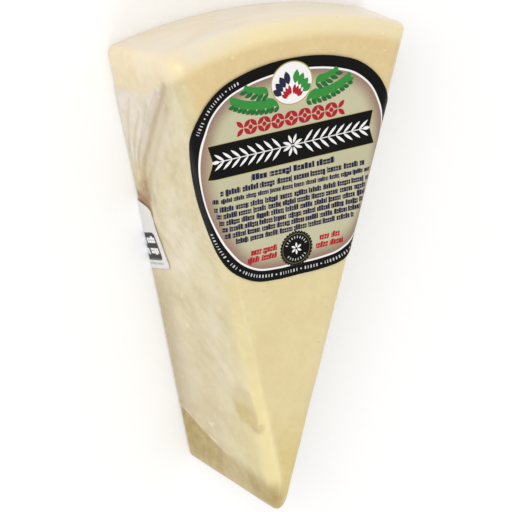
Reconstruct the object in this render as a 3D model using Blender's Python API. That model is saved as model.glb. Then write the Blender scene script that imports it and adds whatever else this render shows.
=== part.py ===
"""A wedge of hard cheese in tight clear wrap, with a front label and a sticker folded round from its back.

The wedge lies on its plain cut face with the label up, its point towards -Y and its rind towards +Y.
Sizes below are in millimetres and become metres when a mesh is made.
The origin is on the resting plane, under the middle of the wedge.
"""

import math

import bmesh
import bpy
from mathutils import Matrix, Vector

MM = 0.001
SHARP_EDGE = math.radians(40)

# The wedge: corners of its two broad faces seen from above, before any rounding.
# It was cut by hand, so the lower face leans to the left at the point and is wider at the rind.
UPPER = {"point": (-0.1, -7.5), "right": (36.9, 136.6), "left": (-34.5, 134.6)}
LOWER = {"point": (-11.1, -0.7), "right": (46.6, 132.6), "left": (-36.5, 130.2)}
THICKNESS = 37.9
RIND_BULGE = 6.1
UPPER_ROUND = {"right": 3.5, "rind": 6.0, "left": 3.5}
LOWER_ROUND = 1.5
UPRIGHT_ROUND = {"point": 1.7, "right": 1.6, "left": 2.5}
LEFT_BOW = 1.4

# Hollows of the left cut face under the wrap: distance from the point, height, half length, half height, depth.
WRAP_HOLLOW = (92.0, 7.0, 9.0, 4.5, 1.6)
POINT_HOLLOW = (33.0, 31.5, 10.0, 5.5, 0.9)

# Steps of the wedge's mesh.
LOWER_STEPS = 4
SIDE_LEVELS = 14
UPPER_STEPS = 6
CORNER_STEPS = 6
SIDE_STEPS = {"right": 20, "rind": 24, "left": 44}

# The front label in its own flat frame: the right half of its outline upwards, and where that frame lies.
LABEL_HALF_OUTLINE = [
    (0, -7.7), (6.8, -7.7), (13.8, -6.7), (20.0, -3.0), (24.3, 2.6), (27.4, 8.8), (29.8, 15.2), (31.1, 22.0),
    (31.3, 29.1), (30.2, 36.5), (27.0, 43.5), (21.3, 48.7), (14.2, 51.5), (7.0, 52.9), (0, 53.3),
]
LABEL_CENTRE_SHIFT = 0.7
LABEL_PLACE = (2.2, 78.1)
LABEL_TURN = math.radians(3.3)
LABEL_POINTS = 84
CURVE_STEPS = 24
LABEL_INSETS = (0.0, 1.4, 2.8, 4.3, 6.2, 9.0)
LABEL_INNER_SHARES = (0.66, 0.33)

# The sticker: its outer corner on the left face, its slope there, its size and the rounding of its corners.
STICKER_CORNER = (69.7, 11.0)
STICKER_SLOPE = math.radians(15.8)
STICKER_LENGTH = 21.0
STICKER_WIDTH = 40.0
STICKER_ROUND = {"outer_low": 1.3, "outer_high": 7.0, "inner": 1.5}
STICKER_COLUMNS = 10
STICKER_ROWS = 34

# How the thin pieces sit: paper thickness, air between pieces, and how deep the sticker lies in the wrap.
PAPER = 0.25
GAP = 0.3
STICKER_DEPTH = 0.12
POCKET_MARGIN = 0.35
POCKET_OVERCUT = 0.6


def between(a, b, share):
    """The point that lies at this share of the way from a to b."""
    return tuple(p + (q - p) * share for p, q in zip(a, b))


def unit(x, y):
    length = math.hypot(x, y)
    return x / length, y / length


def corners_at(z):
    """The wedge's three sharp corners at a height. The sides are ruled from the lower face to the upper one."""
    return {name: between(LOWER[name], UPPER[name], z / THICKNESS) for name in UPPER}


def flat_side(side, z, inset):
    """Start, direction and inward normal of a cut side, moved inwards. The sides run counterclockwise."""
    c = corners_at(z)
    start, end = (c["point"], c["right"]) if side == "right" else (c["left"], c["point"])
    dx, dy = unit(end[0] - start[0], end[1] - start[1])
    return (start[0] - dy * inset, start[1] + dx * inset), (dx, dy), (-dy, dx)


def rind_arc(z, inset):
    """Centre and radius of the rind's arc at a height, moved inwards."""
    c = corners_at(z)
    (x0, y0), (x1, y1) = c["right"], c["left"]
    chord = math.hypot(x1 - x0, y1 - y0)
    radius = (chord**2 / 4 + RIND_BULGE**2) / (2 * RIND_BULGE)
    dx, dy = unit(x1 - x0, y1 - y0)
    reach = radius - RIND_BULGE
    return ((x0 + x1) / 2 - dy * reach, (y0 + y1) / 2 + dx * reach), radius - inset


def meeting_point(corner, at):
    """Where two sides meet. at[side] holds the height and the inset of each side."""
    if corner == "point":
        (px, py), (dx, dy), _ = flat_side("left", *at["left"])
        (qx, qy), (ex, ey), _ = flat_side("right", *at["right"])
        run = ((qx - px) * ey - (qy - py) * ex) / (dx * ey - dy * ex)
        return px + dx * run, py + dy * run
    (px, py), (dx, dy), _ = flat_side(corner, *at[corner])
    (ox, oy), radius = rind_arc(*at["rind"])
    wx, wy = px - ox, py - oy
    middle = wx * dx + wy * dy
    half = math.sqrt(middle**2 - (wx**2 + wy**2 - radius**2))
    run = -middle + half if corner == "right" else -middle - half
    return px + dx * run, py + dy * run


def outward(side, at, centre):
    """The outward normal of a side, as an angle. The rind's is taken at the centre of a corner's rounding."""
    if side == "rind":
        (ox, oy), _ = rind_arc(*at["rind"])
        return math.atan2(centre[1] - oy, centre[0] - ox)
    _, _, (nx, ny) = flat_side(side, *at[side])
    return math.atan2(-ny, -nx)


def hollow(along, z, spot):
    """Depth of one smooth oval hollow at a place on the left face."""
    middle, height, half_length, half_height, depth = spot
    far = ((along - middle) / half_length) ** 2 + ((z - height) / half_height) ** 2
    return depth * (1 - far) ** 2 if far < 1 else 0.0


def bow(share, z):
    """How far the left face curves in between its ends: most half way along its upper edge, nothing below."""
    return LEFT_BOW * math.sin(math.pi * min(max(share, 0.0), 1.0)) * (z / THICKNESS) ** 2


def left_push(share, z):
    """How far the left face lies inside its flat plane, at a share of its length from the point."""
    c = corners_at(z)
    along = share * math.dist(c["point"], c["left"])
    return bow(share, z) + hollow(along, z, WRAP_HOLLOW) + hollow(along, z, POINT_HOLLOW)


def outline(at):
    """Points round the wedge once, from the point's rounding on: corner arcs with the sides between them."""
    turns = [("point", "left", "right"), ("right", "right", "rind"), ("left", "rind", "left")]
    arcs = []
    for corner, before, after in turns:
        radius = UPRIGHT_ROUND[corner]
        cx, cy = meeting_point(corner, {side: (z, inset + radius) for side, (z, inset) in at.items()})
        first, last = outward(before, at, (cx, cy)), outward(after, at, (cx, cy))
        last += 2 * math.pi if last < first else 0
        arc = []
        for step in range(CORNER_STEPS + 1):
            share = step / CORNER_STEPS
            angle = first + (last - first) * share
            z = at[before][0] + (at[after][0] - at[before][0]) * share
            arc.append((cx + radius * math.cos(angle), cy + radius * math.sin(angle), z))
        arcs.append(arc)
    points = []
    for index, (_, _, side) in enumerate(turns):
        start, end = arcs[index][-1], arcs[(index + 1) % 3][0]
        points += arcs[index]
        for step in range(1, SIDE_STEPS[side]):
            share = step / SIDE_STEPS[side]
            points.append(side_point(side, at, start, end, share))
    return points


def side_point(side, at, start, end, share):
    """A point of one side between two corner arcs, with the rind's curve or the left face's bow and hollows."""
    x, y, z = between(start, end, share)
    if side == "rind":
        (ox, oy), radius = rind_arc(*at["rind"])
        first = math.atan2(start[1] - oy, start[0] - ox)
        last = math.atan2(end[1] - oy, end[0] - ox)
        angle = first + (last - first) * share
        return ox + radius * math.cos(angle), oy + radius * math.sin(angle), z
    if side == "left":
        _, _, (nx, ny) = flat_side("left", *at["left"])
        push = left_push(1 - share, z)
        return x + nx * push, y + ny * push, z
    return x, y, z


def wedge_rings():
    """Outlines from the lower face to the upper one: a small rounding, the sides, and a softer rounding."""
    rings = []
    for step in range(LOWER_STEPS + 1):
        angle = math.pi / 2 * step / LOWER_STEPS
        low = (LOWER_ROUND * (1 - math.cos(angle)), LOWER_ROUND * (1 - math.sin(angle)))
        rings.append(outline({side: low for side in UPPER_ROUND}))
    for level in range(1, SIDE_LEVELS):
        share = level / SIDE_LEVELS
        at = {}
        for side, radius in UPPER_ROUND.items():
            at[side] = (LOWER_ROUND + (THICKNESS - radius - LOWER_ROUND) * share, 0.0)
        rings.append(outline(at))
    for step in range(UPPER_STEPS + 1):
        angle = math.pi / 2 * step / UPPER_STEPS
        at = {}
        for side, radius in UPPER_ROUND.items():
            at[side] = (THICKNESS - radius * (1 - math.sin(angle)), radius * (1 - math.cos(angle)))
        rings.append(outline(at))
    return rings


def fold(x, y, lift, face):
    """Lays a point of a flat sheet on the upper or lower face, and past a long edge on to the cut side.

    lift is the distance outwards from the wedge's own surface.
    """
    upper = face == "upper"
    home = THICKNESS if upper else 0.0
    toward = -1.0 if upper else 1.0
    for side in ("left", "right"):
        (px, py), (dx, dy), (nx, ny) = flat_side(side, home, 0.0)
        c = corners_at(home)
        run = ((x - px) * dx + (y - py) * dy) / math.dist(c["point"], c[side])
        share = 1 - run if side == "left" else run
        push = bow(share, home) if side == "left" else 0.0
        radius = UPPER_ROUND[side] if upper else LOWER_ROUND
        past = radius - ((x - px) * nx + (y - py) * ny - push)
        if past <= 0:
            continue
        quarter = radius * math.pi / 2
        angle = max(math.pi / 2 - past / radius, 0.0)
        inset = radius * (1 - math.cos(angle))
        depth = radius * (1 - math.sin(angle)) + max(past - quarter, 0.0)
        z = home + toward * depth
        foot = between(corners_at(z)["point"], corners_at(z)[side], share)
        further = between(corners_at(z + toward)["point"], corners_at(z + toward)[side], share)
        slant = -((further[0] - foot[0]) * nx + (further[1] - foot[1]) * ny)
        if side == "left":
            inset += left_push(share, z)
        out, up = unit(math.cos(angle), slant * math.cos(angle) + math.sin(angle))
        reach = inset - lift * out
        return foot[0] + nx * reach, foot[1] + ny * reach, z - toward * lift * up
    return x, y, home - toward * lift


def catmull_rom(a, b, c, d, t):
    """The smooth curve from b to c, at t from 0 to 1, that also heeds its neighbours a and d."""
    return 0.5 * (2 * b + (c - a) * t + (2 * a - 5 * b + 4 * c - d) * t**2 + (3 * b - a - 3 * c + d) * t**3)


def smooth_closed(points, count):
    """Evenly spaced points on a smooth closed curve through a few points."""
    fine = []
    for i in range(len(points)):
        a, b, c, d = (points[(i + k) % len(points)] for k in (-1, 0, 1, 2))
        for step in range(CURVE_STEPS):
            t = step / CURVE_STEPS
            fine.append(tuple(catmull_rom(*values, t) for values in zip(a, b, c, d)))
    marks = [0.0]
    for i in range(len(fine)):
        marks.append(marks[-1] + math.dist(fine[i], fine[(i + 1) % len(fine)]))
    even = []
    index = 0
    for k in range(count):
        target = marks[-1] * k / count
        while marks[index + 1] < target:
            index += 1
        share = (target - marks[index]) / (marks[index + 1] - marks[index])
        even.append(between(fine[index], fine[(index + 1) % len(fine)], share))
    return even


def inset_ring(points, distance):
    """A closed ring moved inwards by a distance. The ring runs counterclockwise."""
    moved = []
    for i, (x, y) in enumerate(points):
        (x0, y0), (x1, y1) = points[i - 1], points[(i + 1) % len(points)]
        dx, dy = unit(x1 - x0, y1 - y0)
        moved.append((x - dy * distance, y + dx * distance))
    return moved


def label_to_front(a, b):
    """From the label's own flat frame to the plan of the front face."""
    cos, sin = math.cos(LABEL_TURN), math.sin(LABEL_TURN)
    return LABEL_PLACE[0] + a * cos - b * sin, LABEL_PLACE[1] + a * sin + b * cos


def sticker_to_back(p, q):
    """From the sticker's flat frame (p along it, q away from its outer edge) to the plan of the lower face."""
    cos, sin = math.cos(STICKER_SLOPE), math.sin(STICKER_SLOPE)
    along = STICKER_CORNER[0] + p * cos - q * sin
    height = STICKER_CORNER[1] - p * sin - q * cos
    (_, _), (dx, dy), (nx, ny) = flat_side("left", 0.0, 0.0)
    start = corners_at(0.0)["point"]
    inward = LOWER_ROUND * (2 - math.pi / 2) - height
    return start[0] - dx * along + nx * inward, start[1] - dy * along + ny * inward


def clear_scene():
    for thing in list(bpy.data.objects):
        bpy.data.objects.remove(thing, do_unlink=True)


def material(name, colour, roughness):
    made = bpy.data.materials.new(name)
    made.use_nodes = True
    shader = made.node_tree.nodes["Principled BSDF"]
    shader.inputs["Base Color"].default_value = (*colour, 1.0)
    shader.inputs["Roughness"].default_value = roughness
    shader.inputs["Metallic"].default_value = 0.0
    return made


def object_from(bm, name, finish):
    """Turns a mesh in millimetres into a named, smooth shaded object in metres."""
    bmesh.ops.scale(bm, vec=(MM, MM, MM), verts=bm.verts)
    mesh = bpy.data.meshes.new(name)
    bm.to_mesh(mesh)
    bm.free()
    mesh.shade_smooth()
    mesh.set_sharp_from_angle(angle=SHARP_EDGE)
    mesh.materials.append(finish)
    made = bpy.data.objects.new(name, mesh)
    bpy.context.collection.objects.link(made)
    return made


def stand_on_origin(things, rings):
    """Moves every mesh so that the origin lies under the middle of the wedge's box."""
    xs = [p[0] for ring in rings for p in ring]
    ys = [p[1] for ring in rings for p in ring]
    middle = Vector(((min(xs) + max(xs)) / 2, (min(ys) + max(ys)) / 2, 0.0)) * MM
    for thing in things:
        thing.data.transform(Matrix.Translation(-middle))


def skin(bm, rings):
    """Faces between each ring of vertices and the next."""
    loops = [[bm.verts.new(point) for point in ring] for ring in rings]
    for lower, upper in zip(loops, loops[1:]):
        for i in range(len(lower)):
            j = (i + 1) % len(lower)
            bm.faces.new((lower[i], lower[j], upper[j], upper[i]))
    return loops


def make_wedge(rings, finish):
    bm = bmesh.new()
    loops = skin(bm, rings)
    bm.faces.new(list(reversed(loops[0])))
    bm.faces.new(loops[-1])
    return object_from(bm, "wrapped_cheese", finish)


def thicken(thing, thickness):
    """Gives a sheet its thickness, outwards from the side that faces the wedge."""
    solid = thing.modifiers.new("thickness", "SOLIDIFY")
    solid.thickness = thickness * MM
    solid.offset = 1.0
    solid.use_even_offset = True


def make_label(finish):
    """The front label: rings from its outline inwards, folded over the front and round both long edges."""
    left_half = [(-x, y) for x, y in reversed(LABEL_HALF_OUTLINE[1:-1])]
    points = [(x + LABEL_CENTRE_SHIFT, y) for x, y in LABEL_HALF_OUTLINE + left_half]
    edge = smooth_closed(points, LABEL_POINTS)
    rings = [inset_ring(edge, distance) for distance in LABEL_INSETS]
    centre = (sum(x for x, _ in edge) / LABEL_POINTS, sum(y for _, y in edge) / LABEL_POINTS)
    innermost = rings[-1]
    rings += [[between(centre, point, share) for point in innermost] for share in LABEL_INNER_SHARES]
    bm = bmesh.new()
    loops = skin(bm, [[fold(*label_to_front(*point), GAP, "upper") for point in ring] for ring in rings])
    hub = bm.verts.new(fold(*label_to_front(*centre), GAP, "upper"))
    inner = loops[-1]
    for i in range(LABEL_POINTS):
        bm.faces.new((inner[i], inner[(i + 1) % LABEL_POINTS], hub))
    made = object_from(bm, "front_label", finish)
    thicken(made, PAPER)
    return made


def corner_trim(distance, radius):
    """How far a rounded corner has stepped in, at a distance from the sheet's end."""
    if distance >= radius:
        return 0.0
    return radius - math.sqrt(max(radius**2 - (radius - distance) ** 2, 0.0))


def sticker_sheet(name, finish, margin, lift, thickness):
    """A sheet of the sticker's shape, grown by a margin, at a lift from the wedge's surface."""
    bm = bmesh.new()
    rows = []
    for row in range(STICKER_ROWS + 1):
        q = -margin + (STICKER_WIDTH + 2 * margin) * row / STICKER_ROWS
        from_outer, from_inner = q + margin, STICKER_WIDTH + margin - q
        inner_trim = corner_trim(from_inner, STICKER_ROUND["inner"])
        first = -margin + corner_trim(from_outer, STICKER_ROUND["outer_low"]) + inner_trim
        last = STICKER_LENGTH + margin - corner_trim(from_outer, STICKER_ROUND["outer_high"]) - inner_trim
        line = []
        for column in range(STICKER_COLUMNS + 1):
            p = first + (last - first) * column / STICKER_COLUMNS
            line.append(bm.verts.new(fold(*sticker_to_back(p, q), lift, "lower")))
        rows.append(line)
    for upper, lower in zip(rows, rows[1:]):
        for column in range(STICKER_COLUMNS):
            bm.faces.new((upper[column], upper[column + 1], lower[column + 1], lower[column]))
    made = object_from(bm, name, finish)
    thicken(made, thickness)
    return made


def make_sticker(finish):
    return sticker_sheet("back_sticker", finish, 0.0, -STICKER_DEPTH - PAPER, PAPER)


def cut_sticker_bed(wedge, finish):
    """Sinks a shallow bed for the sticker into the wrap, so that the piece still rests on its plain face."""
    depth = STICKER_DEPTH + PAPER + GAP
    cutter = sticker_sheet("sticker_bed_cutter", finish, POCKET_MARGIN, -depth, depth + POCKET_OVERCUT)
    cutter.hide_render = True
    cutter.display_type = "WIRE"
    cut = wedge.modifiers.new("sticker bed", "BOOLEAN")
    cut.operation = "DIFFERENCE"
    cut.solver = "EXACT"
    cut.object = cutter
    return cutter


clear_scene()
cheese = material("wrapped cheese", (0.75, 0.62, 0.36), 0.3)
label_print = material("label print", (0.30, 0.28, 0.22), 0.4)
sticker_paper = material("sticker paper", (0.75, 0.75, 0.73), 0.45)
wedge_outlines = wedge_rings()
wedge = make_wedge(wedge_outlines, cheese)
bed_cutter = cut_sticker_bed(wedge, cheese)
label = make_label(label_print)
sticker = make_sticker(sticker_paper)
stand_on_origin([wedge, bed_cutter, label, sticker], wedge_outlines)
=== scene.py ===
# %% [markdown]
# # A wedge of hard cheese in tight clear wrap
# The object is a retail wedge of hard cheese. A clear film is shrunk on to it, a printed label lies on its broad
# face and folds round both long edges, and a small white sticker folds round from the back. The packed model gives
# the plain solids. This lesson dresses them: it builds the cheese and its film as two skins of one form, prints the
# label with shader maths, and lights the piece as on a white studio table.
# Sizes are in millimetres until a mesh is made, because every detail here is a few millimetres wide or less.

import math

import bpy
import numpy as np
from mathutils import Matrix, Vector, noise


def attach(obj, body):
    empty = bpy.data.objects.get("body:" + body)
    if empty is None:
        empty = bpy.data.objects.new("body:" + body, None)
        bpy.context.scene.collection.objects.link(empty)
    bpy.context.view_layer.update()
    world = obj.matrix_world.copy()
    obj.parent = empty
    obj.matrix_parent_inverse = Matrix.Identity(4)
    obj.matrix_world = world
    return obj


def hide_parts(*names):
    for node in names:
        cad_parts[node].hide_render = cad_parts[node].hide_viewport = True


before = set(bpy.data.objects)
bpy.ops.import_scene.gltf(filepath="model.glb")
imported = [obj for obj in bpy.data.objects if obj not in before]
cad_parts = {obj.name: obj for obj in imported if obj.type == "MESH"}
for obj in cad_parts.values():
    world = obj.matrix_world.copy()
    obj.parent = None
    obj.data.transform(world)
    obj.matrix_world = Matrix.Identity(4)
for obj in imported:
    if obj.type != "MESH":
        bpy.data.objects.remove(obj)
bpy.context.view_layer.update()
MM = 0.001
print("nodes:", ", ".join(sorted(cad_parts)))

# %% [markdown]
# ## The wedge's sizes
# The wedge was cut by hand: its lower face leans to the left at the point and is wider at the rind, so each broad
# face has its own three corners and the sides are ruled between them. The upper edges are rounded by the film that
# pulls over them. The numbers repeat those of the solids, because the skins have to lie exactly on them.

# %% Sizes of the wedge
UPPER = {"point": (-0.1, -7.5), "right": (36.9, 136.6), "left": (-34.5, 134.6)}
LOWER = {"point": (-11.1, -0.7), "right": (46.6, 132.6), "left": (-36.5, 130.2)}
THICKNESS = 37.9
RIND_BULGE = 6.1
UPPER_ROUND = {"right": 3.5, "rind": 6.0, "left": 3.5}
LOWER_ROUND = 1.5
UPRIGHT_ROUND = {"point": 1.7, "right": 1.6, "left": 2.5}
LEFT_BOW = 1.4
WRAP_HOLLOW = (92.0, 7.0, 9.0, 4.5, 1.6)
POINT_HOLLOW = (33.0, 31.5, 10.0, 5.5, 0.9)

LOWER_STEPS = 5
SIDE_LEVELS = 56
UPPER_STEPS = 8
CORNER_STEPS = 8
SIDE_STEPS = {"right": 200, "rind": 90, "left": 200}
CAP_COLUMNS = 24
CAP_CROWDING = 1.25  # above 1, the columns of a broad face crowd towards its left edge


def between(a, b, share):
    """The point that lies at this share of the way from a to b."""
    return tuple(p + (q - p) * share for p, q in zip(a, b))


def unit(x, y):
    length = math.hypot(x, y)
    return x / length, y / length


def corners_at(z):
    """The wedge's three sharp corners at a height. It also takes an array of heights."""
    return {name: between(LOWER[name], UPPER[name], z / THICKNESS) for name in UPPER}


def flat_side(side, z, inset):
    """Start, direction and inward normal of a cut side, moved inwards by the inset. The sides run counterclockwise."""
    c = corners_at(z)
    start, end = (c["point"], c["right"]) if side == "right" else (c["left"], c["point"])
    dx, dy = unit(end[0] - start[0], end[1] - start[1])
    return (start[0] - dy * inset, start[1] + dx * inset), (dx, dy), (-dy, dx)


def rind_arc(z, inset):
    """Centre and radius of the rind's arc at a height, moved inwards."""
    c = corners_at(z)
    (x0, y0), (x1, y1) = c["right"], c["left"]
    chord = math.hypot(x1 - x0, y1 - y0)
    radius = (chord**2 / 4 + RIND_BULGE**2) / (2 * RIND_BULGE)
    dx, dy = unit(x1 - x0, y1 - y0)
    reach = radius - RIND_BULGE
    return ((x0 + x1) / 2 - dy * reach, (y0 + y1) / 2 + dx * reach), radius - inset


print("length of the cut sides in mm:", round(math.dist(UPPER["point"], UPPER["left"]), 1),
      round(math.dist(UPPER["point"], UPPER["right"]), 1))

# %% [markdown]
# ## One ring round the wedge
# A ring is an outline of the wedge at one height: three small corner arcs with the long sides between them. A stack
# of rings from the bottom edge to the top one makes the whole side wall, with the roundings above and below. The
# left face isn't quite flat: it bows in a little, and has two hollows where the film dips over a gap in the cheese.

# %% Rings
def hollow(along, z, spot):
    """Depth of one smooth oval hollow at places on the left face."""
    middle, height, half_length, half_height, depth = spot
    far = ((along - middle) / half_length) ** 2 + ((z - height) / half_height) ** 2
    return depth * np.clip(1 - far, 0, 1) ** 2


def left_push(share, z):
    """How far the left face lies inside its flat plane, at a share of its length from the point."""
    c = corners_at(z)
    along = share * np.hypot(c["left"][0] - c["point"][0], c["left"][1] - c["point"][1])
    bow = LEFT_BOW * np.sin(np.pi * np.clip(share, 0, 1)) * (z / THICKNESS) ** 2
    return bow + hollow(along, z, WRAP_HOLLOW) + hollow(along, z, POINT_HOLLOW)


def meeting_point(corner, at):
    """Where two sides meet. at[side] holds the height and the inset of each side."""
    if corner == "point":
        (px, py), (dx, dy), _ = flat_side("left", *at["left"])
        (qx, qy), (ex, ey), _ = flat_side("right", *at["right"])
        run = ((qx - px) * ey - (qy - py) * ex) / (dx * ey - dy * ex)
        return px + dx * run, py + dy * run
    (px, py), (dx, dy), _ = flat_side(corner, *at[corner])
    (ox, oy), radius = rind_arc(*at["rind"])
    wx, wy = px - ox, py - oy
    middle = wx * dx + wy * dy
    half = math.sqrt(middle**2 - (wx**2 + wy**2 - radius**2))
    run = -middle + half if corner == "right" else -middle - half
    return px + dx * run, py + dy * run


def outward(side, at, centre):
    """The outward normal of a side, as an angle. The rind's is taken at the centre of a corner's rounding."""
    if side == "rind":
        (ox, oy), _ = rind_arc(*at["rind"])
        return math.atan2(centre[1] - oy, centre[0] - ox)
    _, _, (nx, ny) = flat_side(side, *at[side])
    return math.atan2(-ny, -nx)


def corner_arc(corner, before, after, at):
    """The rounding of an upright edge, from the side before it to the side after it."""
    radius = UPRIGHT_ROUND[corner]
    cx, cy = meeting_point(corner, {side: (z, inset + radius) for side, (z, inset) in at.items()})
    first, last = outward(before, at, (cx, cy)), outward(after, at, (cx, cy))
    last += 2 * math.pi if last < first else 0
    share = np.linspace(0, 1, CORNER_STEPS + 1)
    angle = first + (last - first) * share
    height = at[before][0] + (at[after][0] - at[before][0]) * share
    return np.stack([cx + radius * np.cos(angle), cy + radius * np.sin(angle), height], axis=1)


def side_points(side, at, start, end):
    """The points of one side between two corner arcs."""
    share = np.arange(1, SIDE_STEPS[side])[:, None] / SIDE_STEPS[side]
    points = start + (end - start) * share
    if side == "rind":
        (ox, oy), radius = rind_arc(*at["rind"])
        first = math.atan2(start[1] - oy, start[0] - ox)
        last = math.atan2(end[1] - oy, end[0] - ox)
        angle = first + (last - first) * share[:, 0]
        points[:, 0] = ox + radius * np.cos(angle)
        points[:, 1] = oy + radius * np.sin(angle)
    if side == "left":
        _, _, (nx, ny) = flat_side("left", *at["left"])
        push = left_push(1 - share[:, 0], points[:, 2])
        points[:, :2] += push[:, None] * np.array([[nx, ny]])
    return points


def outline(at):
    """One ring: corner arcs with the sides between them, counterclockwise from the point's rounding on."""
    turns = [("point", "left", "right"), ("right", "right", "rind"), ("left", "rind", "left")]
    arcs = [corner_arc(corner, before, after, at) for corner, before, after in turns]
    parts = []
    for index, (_, _, side) in enumerate(turns):
        parts += [arcs[index], side_points(side, at, arcs[index][-1], arcs[(index + 1) % 3][0])]
    return np.concatenate(parts)


def wedge_rings():
    """Outlines from the lower face to the upper one: a small rounding, the sides, and a softer rounding."""
    rings = []
    for angle in np.linspace(0, math.pi / 2, LOWER_STEPS + 1):
        low = (LOWER_ROUND * (1 - math.cos(angle)), LOWER_ROUND * (1 - math.sin(angle)))
        rings.append(outline({side: low for side in UPPER_ROUND}))
    for share in np.arange(1, SIDE_LEVELS) / SIDE_LEVELS:
        rings.append(outline({
            side: (LOWER_ROUND + (THICKNESS - radius - LOWER_ROUND) * share, 0.0)
            for side, radius in UPPER_ROUND.items()
        }))
    for angle in np.linspace(0, math.pi / 2, UPPER_STEPS + 1):
        rings.append(outline({
            side: (THICKNESS - radius * (1 - math.sin(angle)), radius * (1 - math.cos(angle)))
            for side, radius in UPPER_ROUND.items()
        }))
    return np.array(rings)


rings = wedge_rings()
MIDDLE = (rings[..., :2].min((0, 1)) + rings[..., :2].max((0, 1))) / 2
print("rings:", rings.shape[0], "of", rings.shape[1], "points; middle of the box in mm:", MIDDLE.round(2))

# %% [markdown]
# ## The closed skin
# The rings are joined to a wall, and each broad face is filled with rows that run from the left side to the right
# one. A single big polygon would be simpler, but rows give the face enough points to carry soft unevenness and the
# shallow bed of the sticker. The same points are used twice, for the cheese and for its film.

# %% Skin of the wedge
def mesh_piece(name, points, faces, maps=None, fields=None):
    """A smooth mesh object from points in millimetres. maps are UV maps, fields are numbers for each point."""
    mesh = bpy.data.meshes.new(name)
    placed = (np.asarray(points, float) - np.array([*MIDDLE, 0.0])) * MM
    mesh.from_pydata(placed.tolist(), [], faces)
    for map_name, corners in (maps or {}).items():
        layer = mesh.uv_layers.new(name=map_name)
        layer.data.foreach_set("uv", np.asarray(corners, np.float32).ravel())
    for field_name, values in (fields or {}).items():
        field = mesh.attributes.new(field_name, "FLOAT", "POINT")
        field.data.foreach_set("value", np.asarray(values, np.float32))
    mesh.shade_smooth()
    made = bpy.data.objects.new(name, mesh)
    bpy.context.scene.collection.objects.link(made)
    return made


def cap_rows(ring_start, ring, first_index, upward):
    """Rows of points that fill a broad face, and its faces. The ring's points already stand in the mesh."""
    count = len(ring)
    sides = SIDE_STEPS["left"]
    right = [CORNER_STEPS + k for k in range(sides + 1)]
    left = [(-k) % count for k in range(sides + 1)]
    inner = []
    grid = []
    for k in range(sides + 1):
        row = [ring_start + left[k]]
        for column in range(1, CAP_COLUMNS):
            share = (column / CAP_COLUMNS) ** CAP_CROWDING
            row.append(first_index + len(inner))
            inner.append(ring[left[k]] + (ring[right[k]] - ring[left[k]]) * share)
        row.append(ring_start + right[k])
        grid.append(row)
    faces = []
    for near, far in zip(grid, grid[1:]):
        for column in range(CAP_COLUMNS):
            faces.append((near[column], near[column + 1], far[column + 1], far[column]))
    faces.append([ring_start + k for k in range(CORNER_STEPS + 1)] + grid[0][-2:0:-1])
    rind_side = [ring_start + k for k in range(right[-1], left[-1] + 1)]
    faces.append(rind_side + grid[-1][1:-1])
    return inner, faces if upward else [tuple(reversed(face)) for face in faces]


def wedge_skin():
    """Points and faces of the closed skin."""
    count = rings.shape[1]
    points = list(rings.reshape(-1, 3))
    faces = []
    for level in range(len(rings) - 1):
        low, high = level * count, (level + 1) * count
        for i in range(count):
            j = (i + 1) % count
            faces.append((low + i, low + j, high + j, high + i))
    for level, upward in ((0, False), (len(rings) - 1, True)):
        inner, cap_faces = cap_rows(level * count, rings[level], len(points), upward)
        points += inner
        faces += cap_faces
    return np.array(points), faces


def outward_normals(points, faces):
    """The smooth normal at every point of a closed skin."""
    mesh = bpy.data.meshes.new("measuring")
    mesh.from_pydata(points.tolist(), [], faces)
    normals = np.zeros(len(points) * 3, np.float32)
    mesh.vertex_normals.foreach_get("vector", normals)
    bpy.data.meshes.remove(mesh)
    return normals.reshape(-1, 3).astype(float)


skin_points, skin_faces = wedge_skin()
skin_normals = outward_normals(skin_points, skin_faces)
print("skin:", len(skin_points), "points,", len(skin_faces), "faces")

# %% [markdown]
# ## Where the film touches and where it stands off
# Under such film the cheese looks different from place to place. Where the film lies wet on the cheese the colour is
# deep and clear, and where it stands off by a hair it turns milky and pale, with fine puckers. A painted sheen of the
# soft light is laid into that milky haze. A pucker can be painted, modelled, or both. Here each zone is a named line
# or oval on the left face, measured along the face from the point and up from the table. The lines give a height to
# the film and a number to its material, so the light and the colour agree.

# %% Places on the sides
def ramp(x, low, high):
    """0 below low, 1 above high, and smooth between them. It also runs downwards."""
    t = np.clip((x - low) / (high - low), 0, 1)
    return t * t * (3 - 2 * t)


def bell(x, half):
    """1 at 0 and 0 from half on."""
    return np.clip(1 - (x / half) ** 2, 0, 1) ** 2


def side_place(side, points):
    """Distance along a cut side from the point, and depth below its surface."""
    x, y, z = points.T
    c = corners_at(z)
    px, py = c["point"]
    dx, dy = c[side][0] - px, c[side][1] - py
    length = np.hypot(dx, dy)
    dx, dy = dx / length, dy / length
    along = (x - px) * dx + (y - py) * dy
    depth = (y - py) * dx - (x - px) * dy if side == "right" else (x - px) * dy - (y - py) * dx
    if side == "left":
        depth = depth - left_push(along / length, z)
    return along, depth


def line_distance(a, b, line):
    """Distance to a line of a few points, in the same two coordinates."""
    nearest = np.full(np.shape(a), np.inf)
    for (a0, b0), (a1, b1) in zip(line, line[1:]):
        run = np.clip(((a - a0) * (a1 - a0) + (b - b0) * (b1 - b0)) / ((a1 - a0) ** 2 + (b1 - b0) ** 2), 0, 1)
        nearest = np.minimum(nearest, np.hypot(a - a0 - run * (a1 - a0), b - b0 - run * (b1 - b0)))
    return nearest


def within(a, b, corners):
    """How far inside a convex outline a place lies. The corners run counterclockwise."""
    depth = np.full(np.shape(a), np.inf)
    for (a0, b0), (a1, b1) in zip(corners, corners[1:] + corners[:1]):
        da, db = unit(a1 - a0, b1 - b0)
        depth = np.minimum(depth, (b - b0) * da - (a - a0) * db)
    return depth


def level_of(a, line):
    """The second coordinate of a line of points that rises in its first one."""
    return np.interp(a, [p[0] for p in line], [p[1] for p in line])


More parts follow.
